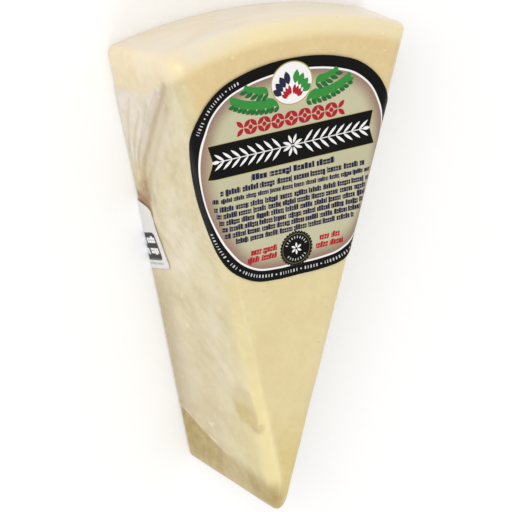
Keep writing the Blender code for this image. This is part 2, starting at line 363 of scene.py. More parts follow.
print("halfway up a ramp:", ramp(0.5, 0, 1), "and halfway out on a bell:", bell(0.5, 1))

# %% [markdown]
# ## The named lines
# Each line is a few points in millimetres: the distance from the wedge's point, then the height. The first one is an
# exception and gives the height first, because it is looked up by height: it is the border of the rind's own skin.
# The folds rise from the sticker to the rind, the wet edge closes off the corner at the point, and a small gap lies
# under the film above it. Milky lines of haze and painted sheen, fine lines, and marks with a painted highlight break
# up what would be too even.

# %% Lines of the two cut sides
RIND_CONTACT = [(0, 122.5), (4, 123.9), (13, 125.7), (19, 128.2), (25, 132.7), (28.5, 134.4), (38, 141)]
FOLD_FLOOR = [(96, 5.8), (104.3, 9.2), (112.6, 14.2), (120.7, 19.1), (128.4, 24.4), (134.8, 28.6)]
FOLD_BAND = [(93, 6.2), (104, 10.8), (112.3, 15.8), (120.4, 20.8), (128, 26.2), (134.5, 30.2)]
FOLD_SIDE = [(95, 4.5), (105.4, 7.2), (114.0, 13.0), (122.1, 17.9), (131.4, 24.2)]
FOLD_UPPER = [(98, 9.0), (104.5, 13.9), (112.4, 18.2), (120.7, 23.6), (128.3, 27.7)]
FINE_LINES = [
    [(97.0, 3.2), (104.0, 4.6), (112.0, 7.6), (120.0, 12.0)],
    [(99.0, 2.0), (106.0, 2.8), (114.0, 4.8), (122.0, 8.0)],
    [(100.0, 5.4), (108.0, 8.4), (116.0, 12.6), (124.0, 17.2)],
]
NOTCH_CORNERS = [(88.2, 0.0), (93.8, 3.0), (97.5, 6.6), (91.0, 7.0), (85.4, 6.4)]
NOTCH_LINE = [(86.6, 5.8), (89.0, 4.0), (91.0, 1.2)]
WET_EDGE = [
    (23.2, -1.0), (22.6, 2.0), (21.4, 5.5), (19.2, 9.6), (17.6, 14.0), (16.0, 19.0), (15.0, 24.0), (14.5, 30.0),
    (14.0, 38.0),
]
THIN_CREASE = [(36.5, 2.2), (32.7, 4.5), (29.2, 6.9), (25.8, 11.0), (21.5, 15.0)]
GAP_CORNERS = [(31.6, 27.6), (38.6, 26.2), (45.6, 29.4), (44.6, 34.8), (36.5, 35.8), (31.0, 34.8)]
VOID_LIP = [(31.4, 32.4), (31.2, 34.2), (32.0, 35.6), (34.0, 36.3)]
MILKY_LINES = [
    [(84.0, 8.0), (81.7, 14.6), (75.3, 18.4), (72.9, 21.8)],
    [(66.0, 8.5), (62.9, 15.4), (59.1, 20.9), (53.5, 24.2)],
    [(54.8, 9.0), (51.0, 15.0), (45.0, 21.0), (41.0, 24.0)],
    [(101.0, 20.0), (94.0, 23.0), (90.1, 26.8)],
]
HIGHLIGHT_MARKS = [
    [(57.0, 29.8), (58.2, 30.6)], [(64.2, 13.2), (65.5, 14.0)], [(54.2, 12.6), (55.3, 13.4)],
    [(33.0, 5.2), (34.4, 5.9)], [(31.0, 19.8), (32.0, 20.3)], [(26.8, 3.6), (28.4, 4.2)],
    [(22.6, 14.0), (23.6, 15.6)], [(91.0, 22.0), (92.6, 21.4)],
]
RIGHT_CREASES = [
    [(60.0, 1.0), (57.0, 9.0), (51.0, 17.0), (49.0, 24.0)],
    [(87.0, 1.0), (95.0, 10.0), (100.0, 18.0), (109.0, 26.0)],
    [(118.0, 2.0), (121.0, 11.0), (129.0, 19.0)],
    [(28.0, 3.0), (33.0, 12.0), (35.0, 20.0)],
]
print("lines of each kind: milky", len(MILKY_LINES), "fine", len(FINE_LINES), "right side", len(RIGHT_CREASES))

# %% [markdown]
# ## Zones of the left face
# A zone is a number from 0 to 1 for every point of the skin. Its border is one of the named lines, shaken by a smooth
# noise, since a border that follows a clean curve looks drawn. The noise depends on the place alone, so the script
# gives the same cheese each time.

# %% Zones
SEED_SHIFT = (17.3, 5.1, 9.7)


def soft_noise(points, scale, seed):
    """Smooth noise between -1 and 1, with its own stretch in each direction, for every point."""
    shift = Vector([seed * step for step in SEED_SHIFT])
    stretched = points / np.array(scale)
    return np.array([noise.noise(Vector(place) + shift) for place in stretched])


def left_fields(along, up):
    """Numbers of the left face's zones, each from 0 to 1."""
    rough = 1.1 * soft_noise(skin_points, (5.0, 5.0, 5.0), 5)
    fine = 1.3 * soft_noise(skin_points, (2.6, 2.6, 2.6), 6)
    # The rind's skin, the white film below the folds, and the thinner white above them, white with haze and painted
    # sheen.
    contact = ramp(along + rough - level_of(up, RIND_CONTACT), -0.9, 1.0)
    below_folds = ramp(level_of(along, FOLD_FLOOR) - up, -1.4, 2.4)
    above_folds = ramp(level_of(along, FOLD_UPPER) + 3.0 + rough - up, -4.0, 4.0)
    above_folds = (1 - below_folds) * above_folds * ramp(along, 95, 110)
    white = (1 - contact) * below_folds * ramp(along, 96, 108) * ramp(up, -1.0, 3.0)
    # The clear yellow strip along the upper edge. It starts higher up past the gap.
    strip_start = 17.0 + 7.0 * ramp(along, 25, 48) + 3.0 * ramp(along, 100, 135)
    clear_strip = ramp(up + 2.4 * rough, strip_start, strip_start + 14.0)
    # The wet corner at the point. Its border softens upwards, and it is weaker halfway up and at the very end.
    wet_level = level_of(up, [(height, place) for place, height in WET_EDGE])
    wet = 1 - ramp(along + 0.5 * fine - wet_level, -0.7 - 0.08 * up, 0.7 + 0.08 * up)
    wet *= 1 - 0.25 * ramp(up, 12.0, 20.0) * (1 - ramp(up, 24.0, 30.0))
    wet *= 1 - 0.34 * (1 - ramp(along, 3.0, 11.0))
    # The gap under the film, in two tones, and the notch above the sticker, where liquid from the cheese has gathered
    # and painted shade darkens the fold.
    void = ramp(within(along + 0.3 * fine, up + 0.3 * fine, GAP_CORNERS), -0.6, 1.0)
    void *= 1 - 0.45 * ramp(along + 0.4 * fine, 36.6, 38.2)
    notch = ramp(within(along + 0.5 * fine, up + 0.5 * rough, NOTCH_CORNERS), -0.9, 1.6)
    return {
        "contact": contact, "white": white, "above_folds": (1 - contact) * above_folds, "clear_strip": clear_strip,
        "wet": wet, "void": void, "notch": notch,
    }


def lines(points, half):
    """Soft lines of the left face, all of one half width."""
    return np.clip(sum(bell(line_distance(left_along, up, line), half) for line in points), 0, 1)


left_along, left_depth = side_place("left", skin_points)
right_along, right_depth = side_place("right", skin_points)
up = skin_points[:, 2]
on_left = 1 - ramp(left_depth, 0.8, 3.4)
on_right = 1 - ramp(right_depth, 0.8, 3.4)
rind_depth = np.array([rind_arc(z, 0.0)[1] - math.dist((x, y), rind_arc(z, 0.0)[0]) for x, y, z in skin_points])
on_rind = 1 - ramp(rind_depth, 1.0, 6.5)
zones = left_fields(left_along, up)
for name, values in zones.items():
    print(f"zone {name}: {values.mean():.2f} on average")

# %% [markdown]
# ## Edges, folds and marks
# The upper edges catch the light, and that light is painted into their colour as a clear yellow highlight, most of all
# along the rind and near the point. The folds, creases and small bright marks are the named lines with a soft width,
# half of which is given in millimetres. The folds carry painted shade, the creases and bright marks painted
# highlights.

# %% Edges and lines
# Painted highlight: the rounded upper edges are painted lighter and yellower, strongest along the rind.
edge_highlight = (1 - ramp(rind_depth, 2.6, 6.5)) * ramp(up, 28.0, 36.0) * (0.75 + 0.25 * ramp(left_depth, 0.0, 9.0))
edge_highlight_share = 0.28 * (1 - ramp(left_along, 118, 130)) + 0.6 * (1 - ramp(left_along, 32, 75))
edge_highlight_share *= 0.25 + 0.75 * ramp(left_along, 1.0, 14.0)
edge_highlight = np.maximum(edge_highlight, edge_highlight_share * (1 - ramp(left_depth, 0.8, 3.6)) * ramp(up, 31.0, 36.5))

streaks = lines(MILKY_LINES, 2.8)
folds = lines([FOLD_FLOOR], 1.5)
fold_band = lines([FOLD_BAND], 3.0)
side_folds = lines([FOLD_SIDE, FOLD_UPPER], 1.1)
fine_lines = lines(FINE_LINES, 0.7)
creases = np.clip(lines([WET_EDGE], 0.9) * (1 - ramp(up, 17, 22)) + 0.55 * lines([THIN_CREASE], 0.5), 0, 1)
creases *= 0.25 + 1.0 * ramp(soft_noise(skin_points, (3.0, 3.0, 3.0), 8), -0.2, 0.4)
# Small painted highlights on the film.
marks = lines(HIGHLIGHT_MARKS, 0.5)
notch = np.clip(0.75 * zones["notch"] + 0.75 * lines([NOTCH_LINE], 1.8), 0, 1)
void_lip = lines([VOID_LIP], 1.2)
print("points on a fold or crease:", int(np.count_nonzero(folds + side_folds + creases)))

# %% [markdown]
# ## How milky the film is, with its painted sheen
# Clouds and finer wisps of noise make the milky haze and its painted sheen uneven. The left face takes them from its
# zones, and loses them where the film is wet, clear or folded. The right side isn't seen in full, so it gets the same
# kind of finish: clouds, and a few creases of its own. The rind gets haze with a painted sheen, paler on its left
# half.

# %% Milky haze and painted sheen of each face
cloud = soft_noise(skin_points, (24.0, 24.0, 9.0), 1) * 0.5 + 0.5
wisp = soft_noise(skin_points, (7.0, 7.0, 3.2), 2) * 0.5 + 0.5
milky = (1 - zones["contact"]) * (1 - zones["wet"])
milky = milky * (1 - (1.0 - 0.25 * ramp(left_along, 35, 70)) * zones["clear_strip"]) * (1 - zones["white"])
patch = bell(line_distance(left_along, up, [(74, 13), (86, 19)]), 9.0)
haze_and_sheen_left = milky * (0.12 + 0.26 * ramp(cloud, 0.35, 0.7) + 0.16 * wisp + 0.2 * streaks + 0.6 * patch)
haze_and_sheen_left += 0.92 * zones["white"] + 0.28 * zones["above_folds"]
clearer = (1 - 0.85 * np.clip(notch + zones["void"], 0, 1)) * (1 - 0.45 * fold_band)
haze_and_sheen_left *= clearer * (1 - 0.35 * np.clip(folds + fine_lines, 0, 1))
haze_and_sheen_left *= 1 - 0.8 * ramp(up, 33.0, 37.5) * ramp(left_along, 105, 120)
# The rind gets haze with a painted sheen of the soft light, paler on its left half.
haze_and_sheen_rind = on_rind * (0.14 + 0.4 * ramp(cloud, 0.45, 0.75) + 0.25 * ramp(skin_points[:, 0], 5, -30))
haze_and_sheen_rind *= 1 - 0.6 * ramp(skin_points[:, 0], 20, 38)
haze_and_sheen_right = ramp(cloud + 0.5 * wisp, 0.5, 0.9) * 0.5 * (1 - ramp(up, 27.0, 33.0)) * ramp(right_along, 12, 45)
right_creases = sum(bell(line_distance(right_along, up, line), 1.0) for line in RIGHT_CREASES)
right_creases = on_right * (1 - on_left) * np.clip(right_creases, 0, 1) * (0.5 + 0.5 * wisp)
haze_and_sheen = on_left * haze_and_sheen_left + (1 - on_left) * np.maximum(on_right * haze_and_sheen_right, haze_and_sheen_rind)
# Creases and bright marks add painted highlight to the haze.
haze_and_sheen = np.clip(haze_and_sheen + on_left * (0.42 * creases + 0.7 * marks) + 0.3 * right_creases, 0, 0.95)
print("milk on average: left", haze_and_sheen[on_left > 0.5].mean().round(2), "right", haze_and_sheen[on_right > 0.5].mean().round(2))

# %% [markdown]
# ## Fields for the materials
# Both skins carry these numbers as attributes, and both materials read them, so a fold has its colour, its milky haze
# with its painted sheen, and its relief in one place.

# %% Fields of the skin
dry = 1 - zones["wet"]
fields = {
    "haze_and_sheen": haze_and_sheen,
    "lilac_sheen": np.clip(on_left * (zones["white"] + 0.6 * zones["above_folds"]) + on_rind * 0.8, 0, 1),
    "wet": np.clip(on_left * zones["wet"], 0, 1),
    "gap": np.clip(on_left * zones["void"], 0, 1),
    # Gathered liquid and painted shade in the notch and on the lip of the gap.
    "juice_and_shade": np.clip(on_left * (notch + 0.3 * void_lip), 0, 1),
    # Painted shade in the folds of the film and along its fine lines.
    "fold": np.clip(on_left * (1.0 * folds + 0.4 * fold_band + 0.45 * side_folds + 0.5 * fine_lines), 0, 1),
    "strip": np.clip(on_left * zones["clear_strip"] * dry * (1 - 0.4 * ramp(left_along, 50, 85)), 0, 1),
    # Painted shade along the foot of the left face, next to the table.
    "foot": np.clip(on_left * (1 - ramp(up, 1.0, 12.0)) * (1 - ramp(left_along, 62, 70)) * dry, 0, 1),
    # Painted shade: the left face is darker low down towards the point.
    "low": np.clip(on_left * (1 - ramp(left_along, 25, 80)) * (1 - ramp(up, 12, 30)), 0, 1),
    "rind": np.clip(on_rind + 0.78 * on_left * zones["contact"], 0, 1),
    "edge_highlight": np.clip(edge_highlight, 0, 1),
    # Painted highlight on the creases and small marks.
    "crease_highlight": on_left * np.clip(creases + marks, 0, 1),
    "left": on_left,
}
for name, values in fields.items():
    print(f"{name}: {values.min():.2f} to {values.max():.2f}")

# %% [markdown]
# ## The sticker's bed
# The sticker folds from the hidden lower face round the bottom edge on to the left face. Paper on the lower face
# would lift the wedge off the table, so the film and the cheese are pressed in under it by a third of a millimetre.
# The bed is found by unrolling: every point near the edge gets its place on the sticker's own flat sheet.

# %% Bed of the sticker
STICKER_CORNER = (69.7, 11.0)
STICKER_SLOPE = math.radians(15.8)
STICKER_LENGTH = 21.0
STICKER_WIDTH = 40.0
STICKER_ROUND = {"outer_low": 1.3, "outer_high": 7.0, "inner": 1.5}
BED_DEPTH = 0.34
BED_EDGE = 0.9


def unrolled_height(depth, z):
    """How far up the surface a point lies from the bottom edge. It is below zero on the lower face."""
    turned = LOWER_ROUND * (np.arctan2(LOWER_ROUND - depth, LOWER_ROUND - z) - math.pi / 2 + 1)
    under = LOWER_ROUND * (2 - math.pi / 2) - depth
    return np.where(z >= LOWER_ROUND, z, np.where(depth >= LOWER_ROUND, under, turned))


def on_side_share(height):
    """0 where the sticker lies on the lower face and 1 where it lies on the left face."""
    return ramp(height, -0.6, 2.6)


height = unrolled_height(left_depth, up)
beyond, below = left_along - STICKER_CORNER[0], STICKER_CORNER[1] - height
sheet_p = beyond * math.cos(STICKER_SLOPE) + below * math.sin(STICKER_SLOPE)
sheet_q = below * math.cos(STICKER_SLOPE) - beyond * math.sin(STICKER_SLOPE)
from_edge = np.minimum.reduce([sheet_p, STICKER_LENGTH - sheet_p, sheet_q, STICKER_WIDTH - sheet_q])
big = STICKER_ROUND["outer_high"]
in_big_corner = (sheet_p > STICKER_LENGTH - big) & (sheet_q < big)
rounded = big - np.hypot(sheet_p - (STICKER_LENGTH - big), big - sheet_q)
from_edge = np.where(in_big_corner, rounded, from_edge)
near_sticker = (up < LOWER_ROUND) | (left_depth < 3.0)
bed = np.where(near_sticker, ramp(from_edge, -BED_EDGE, 0.0), 0.0)
bed *= 0.02 + (BED_DEPTH - 0.02) * (1 - on_side_share(height))
print("deepest place of the bed in mm:", round(bed.max(), 2))

# %% [markdown]
# ## One relief for both skins
# Folds and creases stand up by a few tenths of a millimetre. The film has them, and the soft cheese follows most of
# the way, because a thin film alone would hardly show them. The puckers need two more numbers: how far a place lies
# across them, and how far along them. They run slanted on the left face and upright on the other one. Nothing is
# raised under the sticker or on the edge that rests on the table.

# %% Relief of the folds
bridge = 0.5 * on_left * hollow(left_along, up, WRAP_HOLLOW)
fold_relief = on_left * (
    0.30 * zones["white"] * (1 - folds) + 0.42 * side_folds + 0.12 * streaks * milky + 0.28 * creases + 0.22 * marks
    - 0.30 * folds + 0.15 * fold_band - 0.12 * fine_lines - 0.15 * notch - 0.20 * zones["void"] - 0.12 * void_lip
)
above_table = ramp(up, 0.0, LOWER_ROUND)
fold_relief = (fold_relief + bridge + 0.34 * right_creases) * (1 - ramp(from_edge, -2.0, 0.0) * near_sticker)
fold_relief *= above_table

FOLD_ZONE_START = 90.0
RISING, FALLING, RIGHT_LEAN = (0.86, 0.51), (0.76, 0.65), 0.35  # directions of the pull on the faces
upper_zone = left_along > FOLD_ZONE_START
lane = np.where(upper_zone, RISING[0] * up - RISING[1] * left_along, FALLING[0] * left_along + FALLING[1] * up)
run = np.where(upper_zone, RISING[0] * left_along + RISING[1] * up, FALLING[0] * up - FALLING[1] * left_along)
beside = on_left < 0.5
lane = np.where(beside, right_along + RIGHT_LEAN * up, lane)
run = np.where(beside, up - RIGHT_LEAN * right_along, run)
pucker = on_left * (0.9 * zones["white"] + 0.6 * zones["above_folds"] + 0.2 * milky)
pucker += on_right * (1 - on_left) * 0.8 * ramp(haze_and_sheen_right, 0.05, 0.3)
pucker *= (1 - ramp(from_edge, -2.5, -0.5) * near_sticker) * above_table
fields.update({"lane": lane, "run": run, "pucker": pucker})
print("highest and lowest fold in mm:", round(fold_relief.max(), 2), round(fold_relief.min(), 2))

# %% [markdown]
# ## Shader maths as Python
# A material that prints a label or mottles a cheese needs many small sums. Wired by hand they are hard to read, so
# one small class wraps a socket and lets Python's own operators add the Math nodes. A number that is the same
# everywhere is worked out in Python and set on the shader's socket.

# %% Adding nodes
def add_node(tree, kind, settings=None, *values, **named):
    """Adds a node: settings first, then values or links, by place or by socket name."""
    made = tree.nodes.new(kind)
    for key, setting in (settings or {}).items():
        setattr(made, key, setting)
    sockets = list(zip(made.inputs, values))
    sockets += [(made.inputs[key.replace("_", " ")], value) for key, value in named.items()]
    for socket, value in sockets:
        value = value.socket if isinstance(value, Value) else value
        if isinstance(value, bpy.types.NodeSocket):
            tree.links.new(value, socket)
        elif value is not None:
            socket.default_value = (*value, 1.0) if socket.type == "RGBA" and len(value) == 3 else value
    return made


print("a node takes its settings first, then its values or links")

# %% [markdown]
# ## Numbers that change over a surface
# A value is one socket of a material. The operators add, subtract, multiply, divide and compare, also with a plain
# number in front, and each of them adds one Math node. A few methods stand for the other operations used here.

# %% Values
class Value:
    """A number that changes over a surface."""

    def __init__(self, recipe, socket):
        self.recipe, self.socket = recipe, socket

    def made(self, operation, *others):
        node = self.recipe.node("ShaderNodeMath", {"operation": operation}, *others)
        return Value(self.recipe, node.outputs[0])

    def __add__(self, other):
        return self.made("ADD", self, other)

    def __sub__(self, other):
        return self.made("SUBTRACT", self, other)

    def __rsub__(self, other):
        return self.made("SUBTRACT", other, self)

    def __mul__(self, other):
        return self.made("MULTIPLY", self, other)

    def __truediv__(self, other):
        return self.made("DIVIDE", self, other)

    def __gt__(self, other):
        return self.made("GREATER_THAN", self, other)

    def __lt__(self, other):
        return self.made("LESS_THAN", self, other)

    __radd__ = __add__
    __rmul__ = __mul__

    def size(self):
        return self.made("ABSOLUTE", self)

    def most(self, other):
        return self.made("MAXIMUM", self, other)

    def least(self, other):
        return self.made("MINIMUM", self, other)

    def whole(self):
        return self.made("FLOOR", self)

    def rest(self):
        return self.made("FRACT", self)

    def root(self):
        return self.made("SQRT", self)

    def step(self, low, high):
        """0 below low, 1 above high, smooth between. It also runs downwards."""
        smooth = {"interpolation_type": "SMOOTHSTEP"}
        node = self.recipe.node("ShaderNodeMapRange", smooth, self, low, high, 0.0, 1.0)
        return Value(self.recipe, node.outputs[0])


print("operations of a value:", sum(callable(part) for part in vars(Value).values()) - 2)

# %% [markdown]
# ## A material as a recipe
# A recipe holds one material and makes its nodes. It reads the fields of the skin, the place in millimetres or the
# flat coordinates of a sheet, makes noise, and mixes colours. Colours have their own mix, since a Math node would
# turn them grey.

# %% Recipes
class Recipe:
    """One material: its nodes, its values and its colours."""

    def __init__(self, name):
        self.material = bpy.data.materials.new(name)
        self.material.use_nodes = True
        self.tree = self.material.node_tree
        self.tree.nodes.clear()

    def node(self, kind, settings=None, *values, **named):
        return add_node(self.tree, kind, settings, *values, **named)

    def field(self, name):
        """A number that the piece's mesh carries for each point."""
        return Value(self, self.node("ShaderNodeAttribute", {"attribute_name": name}).outputs["Fac"])

    def place(self, stretch=(1.0, 1.0, 1.0)):
        """The place on the piece in millimetres, divided by a stretch."""
        source = self.node("ShaderNodeTexCoord").outputs["Object"]
        scale = tuple(1 / (MM * s) for s in stretch)
        return self.node("ShaderNodeMapping", {}, Vector=source, Scale=scale).outputs[0]

    def flat(self, map_name):
        """The two coordinates of a UV map, in millimetres."""
        source = self.node("ShaderNodeUVMap", {"uv_map": map_name}).outputs[0]
        split = self.node("ShaderNodeSeparateXYZ", {}, source)
        return Value(self, split.outputs[0]) * MAP_SIZE, Value(self, split.outputs[1]) * MAP_SIZE

    def noise(self, where, detail=3.0, roughness=0.5):
        made = self.node("ShaderNodeTexNoise", {}, Vector=where, Scale=1.0, Detail=detail, Roughness=roughness)
        return Value(self, made.outputs[0])

    def drawn(self, width, length, seed, *quality):
        """Noise that is stretched along the pull of the film."""
        across, lengthways = self.field("lane") / width, self.field("run") / length
        return self.noise(self.node("ShaderNodeCombineXYZ", {}, across, lengthways, seed).outputs[0], *quality)

    def cells(self, where):
        """Distance to the nearest of many scattered points."""
        made = self.node("ShaderNodeTexVoronoi", {"feature": "F1"}, Vector=where, Scale=1.0)
        return Value(self, made.outputs["Distance"])

    def chance(self, number):
        """The same random number from 0 to 1 wherever the number is the same."""
        made = self.node("ShaderNodeTexWhiteNoise", {"noise_dimensions": "1D"}, W=number)
        return Value(self, made.outputs["Value"])

    def mix(self, factor, a, b):
        """A colour that goes from a to b."""
        made = self.node("ShaderNodeMix", {"data_type": "RGBA"})
        for socket, value in ((made.inputs[0], factor), (made.inputs[6], a), (made.inputs[7], b)):
            value = value.socket if isinstance(value, Value) else value
            if isinstance(value, bpy.types.NodeSocket):
                self.tree.links.new(value, socket)
            else:
                socket.default_value = (*value, 1.0) if isinstance(value, tuple) else value
        return made.outputs[2]

    def bump(self, height, depth):
        """A fine relief that only turns the light. depth is in millimetres."""
        return self.node("ShaderNodeBump", {}, Strength=1.0, Distance=depth * MM, Height=height).outputs[0]

    def finish(self, **sockets):
        """The surface itself, wired to the output."""
        shader = self.node("ShaderNodeBsdfPrincipled", {}, **sockets)
        self.node("ShaderNodeOutputMaterial", {}, Surface=shader.outputs[0])
        return self.material


MAP_SIZE = 100.0


def colour(red, green, blue):
    """A colour as a screen shows it, 0 to 255, turned into light."""
    return tuple(((c / 255 + 0.055) / 1.055) ** 2.4 for c in (red, green, blue))


print("white light of a mid grey:", round(colour(128, 128, 128)[0], 3))

# %% [markdown]
# ## The milky haze and its painted sheen
# Where the film stands off, the cheese looks milky, and a sheen of the soft light is painted in with it. A half
# see-through film would be the obvious way, but many faint layers of light leave hard outlines in a render and hide
# the colour below. So the film stays nearly clear, and the milky haze with its painted sheen is mixed into the
# cheese's own
# colour by the same rule: soft clouds, fine threads along the pull, and a tint that is cream, or a painted cool pink
# sheen where the film is loosest. The threads of the puckers carry painted shade.

# %% Milky haze and painted sheen of the film
FILM_MILK_AND_SHEEN = colour(230, 221, 197)
FILM_LILAC_SHEEN = colour(236, 227, 221)
FILM_SHADE = colour(219, 209, 190)
FILM_HIGHLIGHT = colour(246, 232, 214)


def milk_and_sheen_of(r):
    """How milky a place is with its painted sheen, its tint, and the two noises behind it: fine threads and soft
    clouds.
    """
    thread = r.drawn(0.8, 9.0, 0.0, 2.0)
    cloud = r.drawn(8.0, 11.0, 8.0, 4.0, 0.62)
    lilac_sheen = r.field("lilac_sheen")
    tint = r.mix(lilac_sheen * (0.6 + 0.6 * cloud), FILM_MILK_AND_SHEEN, FILM_LILAC_SHEEN)
    tint = r.mix((thread * r.field("pucker")).step(0.3, 0.6) * 0.65, tint, FILM_SHADE)
    # Painted highlight on the creases and marks.
    tint = r.mix(r.field("crease_highlight").step(0.1, 0.8), tint, FILM_HIGHLIGHT)
    share = 0.36 + 0.8 * cloud.step(0.38, 0.62) + (0.2 + 0.25 * lilac_sheen) * thread
    return r.field("haze_and_sheen") * share, tint, thread, cloud


print("palest tint of the film:", [round(part, 2) for part in FILM_HIGHLIGHT])

# %% [markdown]
# ## The cheese
# Hard cheese is pale straw with a waxy, slightly see-through body. It is deeper towards the rind, and a little deeper
# and shinier where the film lies wet on it. Its rounded edges carry a painted yellow highlight, and its folds, its
# notch, its lower left and its foot carry painted shade. Fine specks and short pits show in the cut face. Each line of
# the recipe lays one of these over the ones before. The tight film gives the cheese a thin clear coat, so the coat
# belongs to this material.

# %% Cheese finish
def cheese_finish():
    r = Recipe("cheese")
    mottle = r.noise(r.place((19.0, 19.0, 12.0)), 4.0, 0.55)
    grain = r.noise(r.place((2.6, 2.6, 2.6)), 4.0, 0.6)
    y = Value(r, r.node("ShaderNodeSeparateXYZ", {}, r.place()).outputs[1])
    near_rind = (y + (mottle - 0.5) * 22.0).step(32.0, 58.0)
    straw = r.mix(mottle.step(0.3, 0.7), CHEESE_STRAW, CHEESE_PALE)
    body = r.mix(near_rind * 0.9, straw, CHEESE_DEEP)
    body = r.mix((y + mottle * 20.0).step(-22.0, -60.0) * 0.85, body, CHEESE_TIP)
    streak = r.drawn(6.5, 12.0, 3.0, 5.0, 0.65)
    body = r.mix(r.field("left"), body, r.mix(streak.step(0.3, 0.7), CHEESE_SIDE, CHEESE_SIDE_PALE))
    # Painted shade low on the left face towards the point.
    body = r.mix(r.field("low") * 0.8, body, CHEESE_LOW_SHADE)
    body = r.mix(r.field("strip") * 0.8, body, CHEESE_STRIP)
    body = r.mix(r.field("rind") * 0.95, body, r.mix(mottle.step(0.35, 0.65), RIND_CREAM, RIND_TAN))
    # Painted highlight along the rounded upper edges.
    body = r.mix(r.field("edge_highlight") * (0.58 + 0.28 * mottle.step(0.35, 0.65)), body, CHEESE_CRYSTAL_AND_HIGHLIGHT)
    body = r.mix(r.field("wet") * 0.9, body, r.mix(mottle.step(0.15, 0.85), CHEESE_WET, CHEESE_WET_PALE))
    body = r.mix(r.field("gap") * (0.5 + 0.5 * grain), body, CHEESE_GAP)
    milk_and_sheen, tint, thread, _ = milk_and_sheen_of(r)
    # Milky haze with a painted sheen over the body.
    body = r.mix((milk_and_sheen * 0.95).least(0.94), body, tint)
    # Painted shade along the foot of the left face.
    body = r.mix(r.field("foot") * 0.85, body, CHEESE_FOOT_SHADE)
    # Painted shade in the folds.
    body = r.mix(r.field("fold") * 0.8, body, CHEESE_FOLD_SHADE)
    # Gathered liquid and painted shade in the notch.
    body = r.mix(r.field("juice_and_shade") * (0.68 + 0.5 * grain), body, CHEESE_JUICE_AND_SHADE)
    specks = r.cells(r.place((3.1, 3.1, 3.1)))
    pits = (0.16 - specks).step(0.0, 0.09) * r.noise(r.place((9.0, 9.0, 9.0))).step(0.48, 0.62)
    body = r.mix(pits * 0.34, body, CHEESE_PIT)
    body = r.mix(grain.step(0.4, 0.7) * 0.16, body, CHEESE_CRYSTAL_AND_HIGHLIGHT)
    crystals = (0.17 - r.cells(r.place((4.6, 3.4, 4.0)))).step(0.0, 0.1) * near_rind
    body = r.mix(crystals * 0.45, body, CHEESE_CRYSTAL_AND_HIGHLIGHT)
    relief = grain * 0.35 + mottle * 0.9 - pits * 0.8 + thread * r.field("pucker") * 2.6
    return r.finish(
        Base_Color=body, Roughness=0.42 - r.field("wet") * 0.12, Subsurface_Weight=0.18,
        Subsurface_Radius=(1.0, 0.62, 0.3), Subsurface_Scale=CHEESE_GLOW * MM,
        Coat_Weight=0.55 - r.field("wet") * 0.4, Coat_Roughness=0.16, Coat_IOR=1.45, Normal=r.bump(relief, 0.10),
    )


CHEESE_GLOW = 2.2  # how far light spreads under the surface, in millimetres
FILM_GAP = 0.14
CHEESE_STRAW = colour(216, 198, 144)
CHEESE_PALE = colour(221, 205, 156)
CHEESE_DEEP = colour(217, 190, 136)
CHEESE_TIP = colour(204, 184, 110)
CHEESE_SIDE = colour(188, 171, 126)
CHEESE_SIDE_PALE = colour(214, 202, 166)
CHEESE_LOW_SHADE = colour(196, 178, 138)
CHEESE_FOOT_SHADE = colour(174, 157, 122)
CHEESE_STRIP = colour(208, 193, 138)
# A pale yellow for the painted edge highlight, also used for crystals and light grain.
CHEESE_CRYSTAL_AND_HIGHLIGHT = colour(243, 227, 166)
CHEESE_WET = colour(150, 125, 54)
CHEESE_WET_PALE = colour(172, 147, 76)
CHEESE_GAP = colour(190, 168, 104)
CHEESE_FOLD_SHADE = colour(172, 150, 104)
CHEESE_JUICE_AND_SHADE = colour(134, 88, 40)
CHEESE_PIT = colour(190, 162, 106)
RIND_CREAM = colour(235, 219, 188)
RIND_TAN = colour(227, 206, 167)

# The body stays under the film: a tenth of a millimetre for its own unevenness, and the gap to the film.
cheese_relief = 0.10 * soft_noise(skin_points, (11.0, 11.0, 11.0), 3) - 0.1 - FILM_GAP - bed + 0.8 * fold_relief
cheese_points = skin_points + skin_normals * cheese_relief[:, None]
cheese_body = mesh_piece("cheese_body", cheese_points, skin_faces, fields=fields)
cheese_body.data.materials.append(cheese_finish())
print("cheese:", len(cheese_body.data.polygons), "faces")

# %% [markdown]
# ## Helpers for Geometry Nodes
# Every tree here has named inputs and ends in the same way, so three helpers open a tree, close it, and run it on an
# object. An input of the modifier is set by the socket's identifier. The result is kept as a plain mesh.

# %% Tree helpers
def tree_with(name, inputs):
    """A Geometry Nodes tree with named inputs, and its two end nodes."""
    tree = bpy.data.node_groups.new(name, "GeometryNodeTree")
    tree.interface.new_socket("Geometry", in_out="INPUT", socket_type="NodeSocketGeometry")
    for label, kind in inputs.items():
        tree.interface.new_socket(label, in_out="INPUT", socket_type=kind)
    tree.interface.new_socket("Geometry", in_out="OUTPUT", socket_type="NodeSocketGeometry")
    return tree, tree.nodes.new("NodeGroupInput"), tree.nodes.new("NodeGroupOutput")


def close_tree(tree, shape, given, taken, smooth):
    """Ends a tree as every tree here ends: instances made real, and the material set."""
    shaded = add_node(tree, "GeometryNodeSetShadeSmooth", {}, shape, Shade_Smooth=smooth)
    real = add_node(tree, "GeometryNodeRealizeInstances", {}, shaded.outputs[0])
    painted = add_node(tree, "GeometryNodeSetMaterial", {}, real.outputs[0], None, given.outputs["Material"])
    tree.links.new(painted.outputs[0], taken.inputs[0])


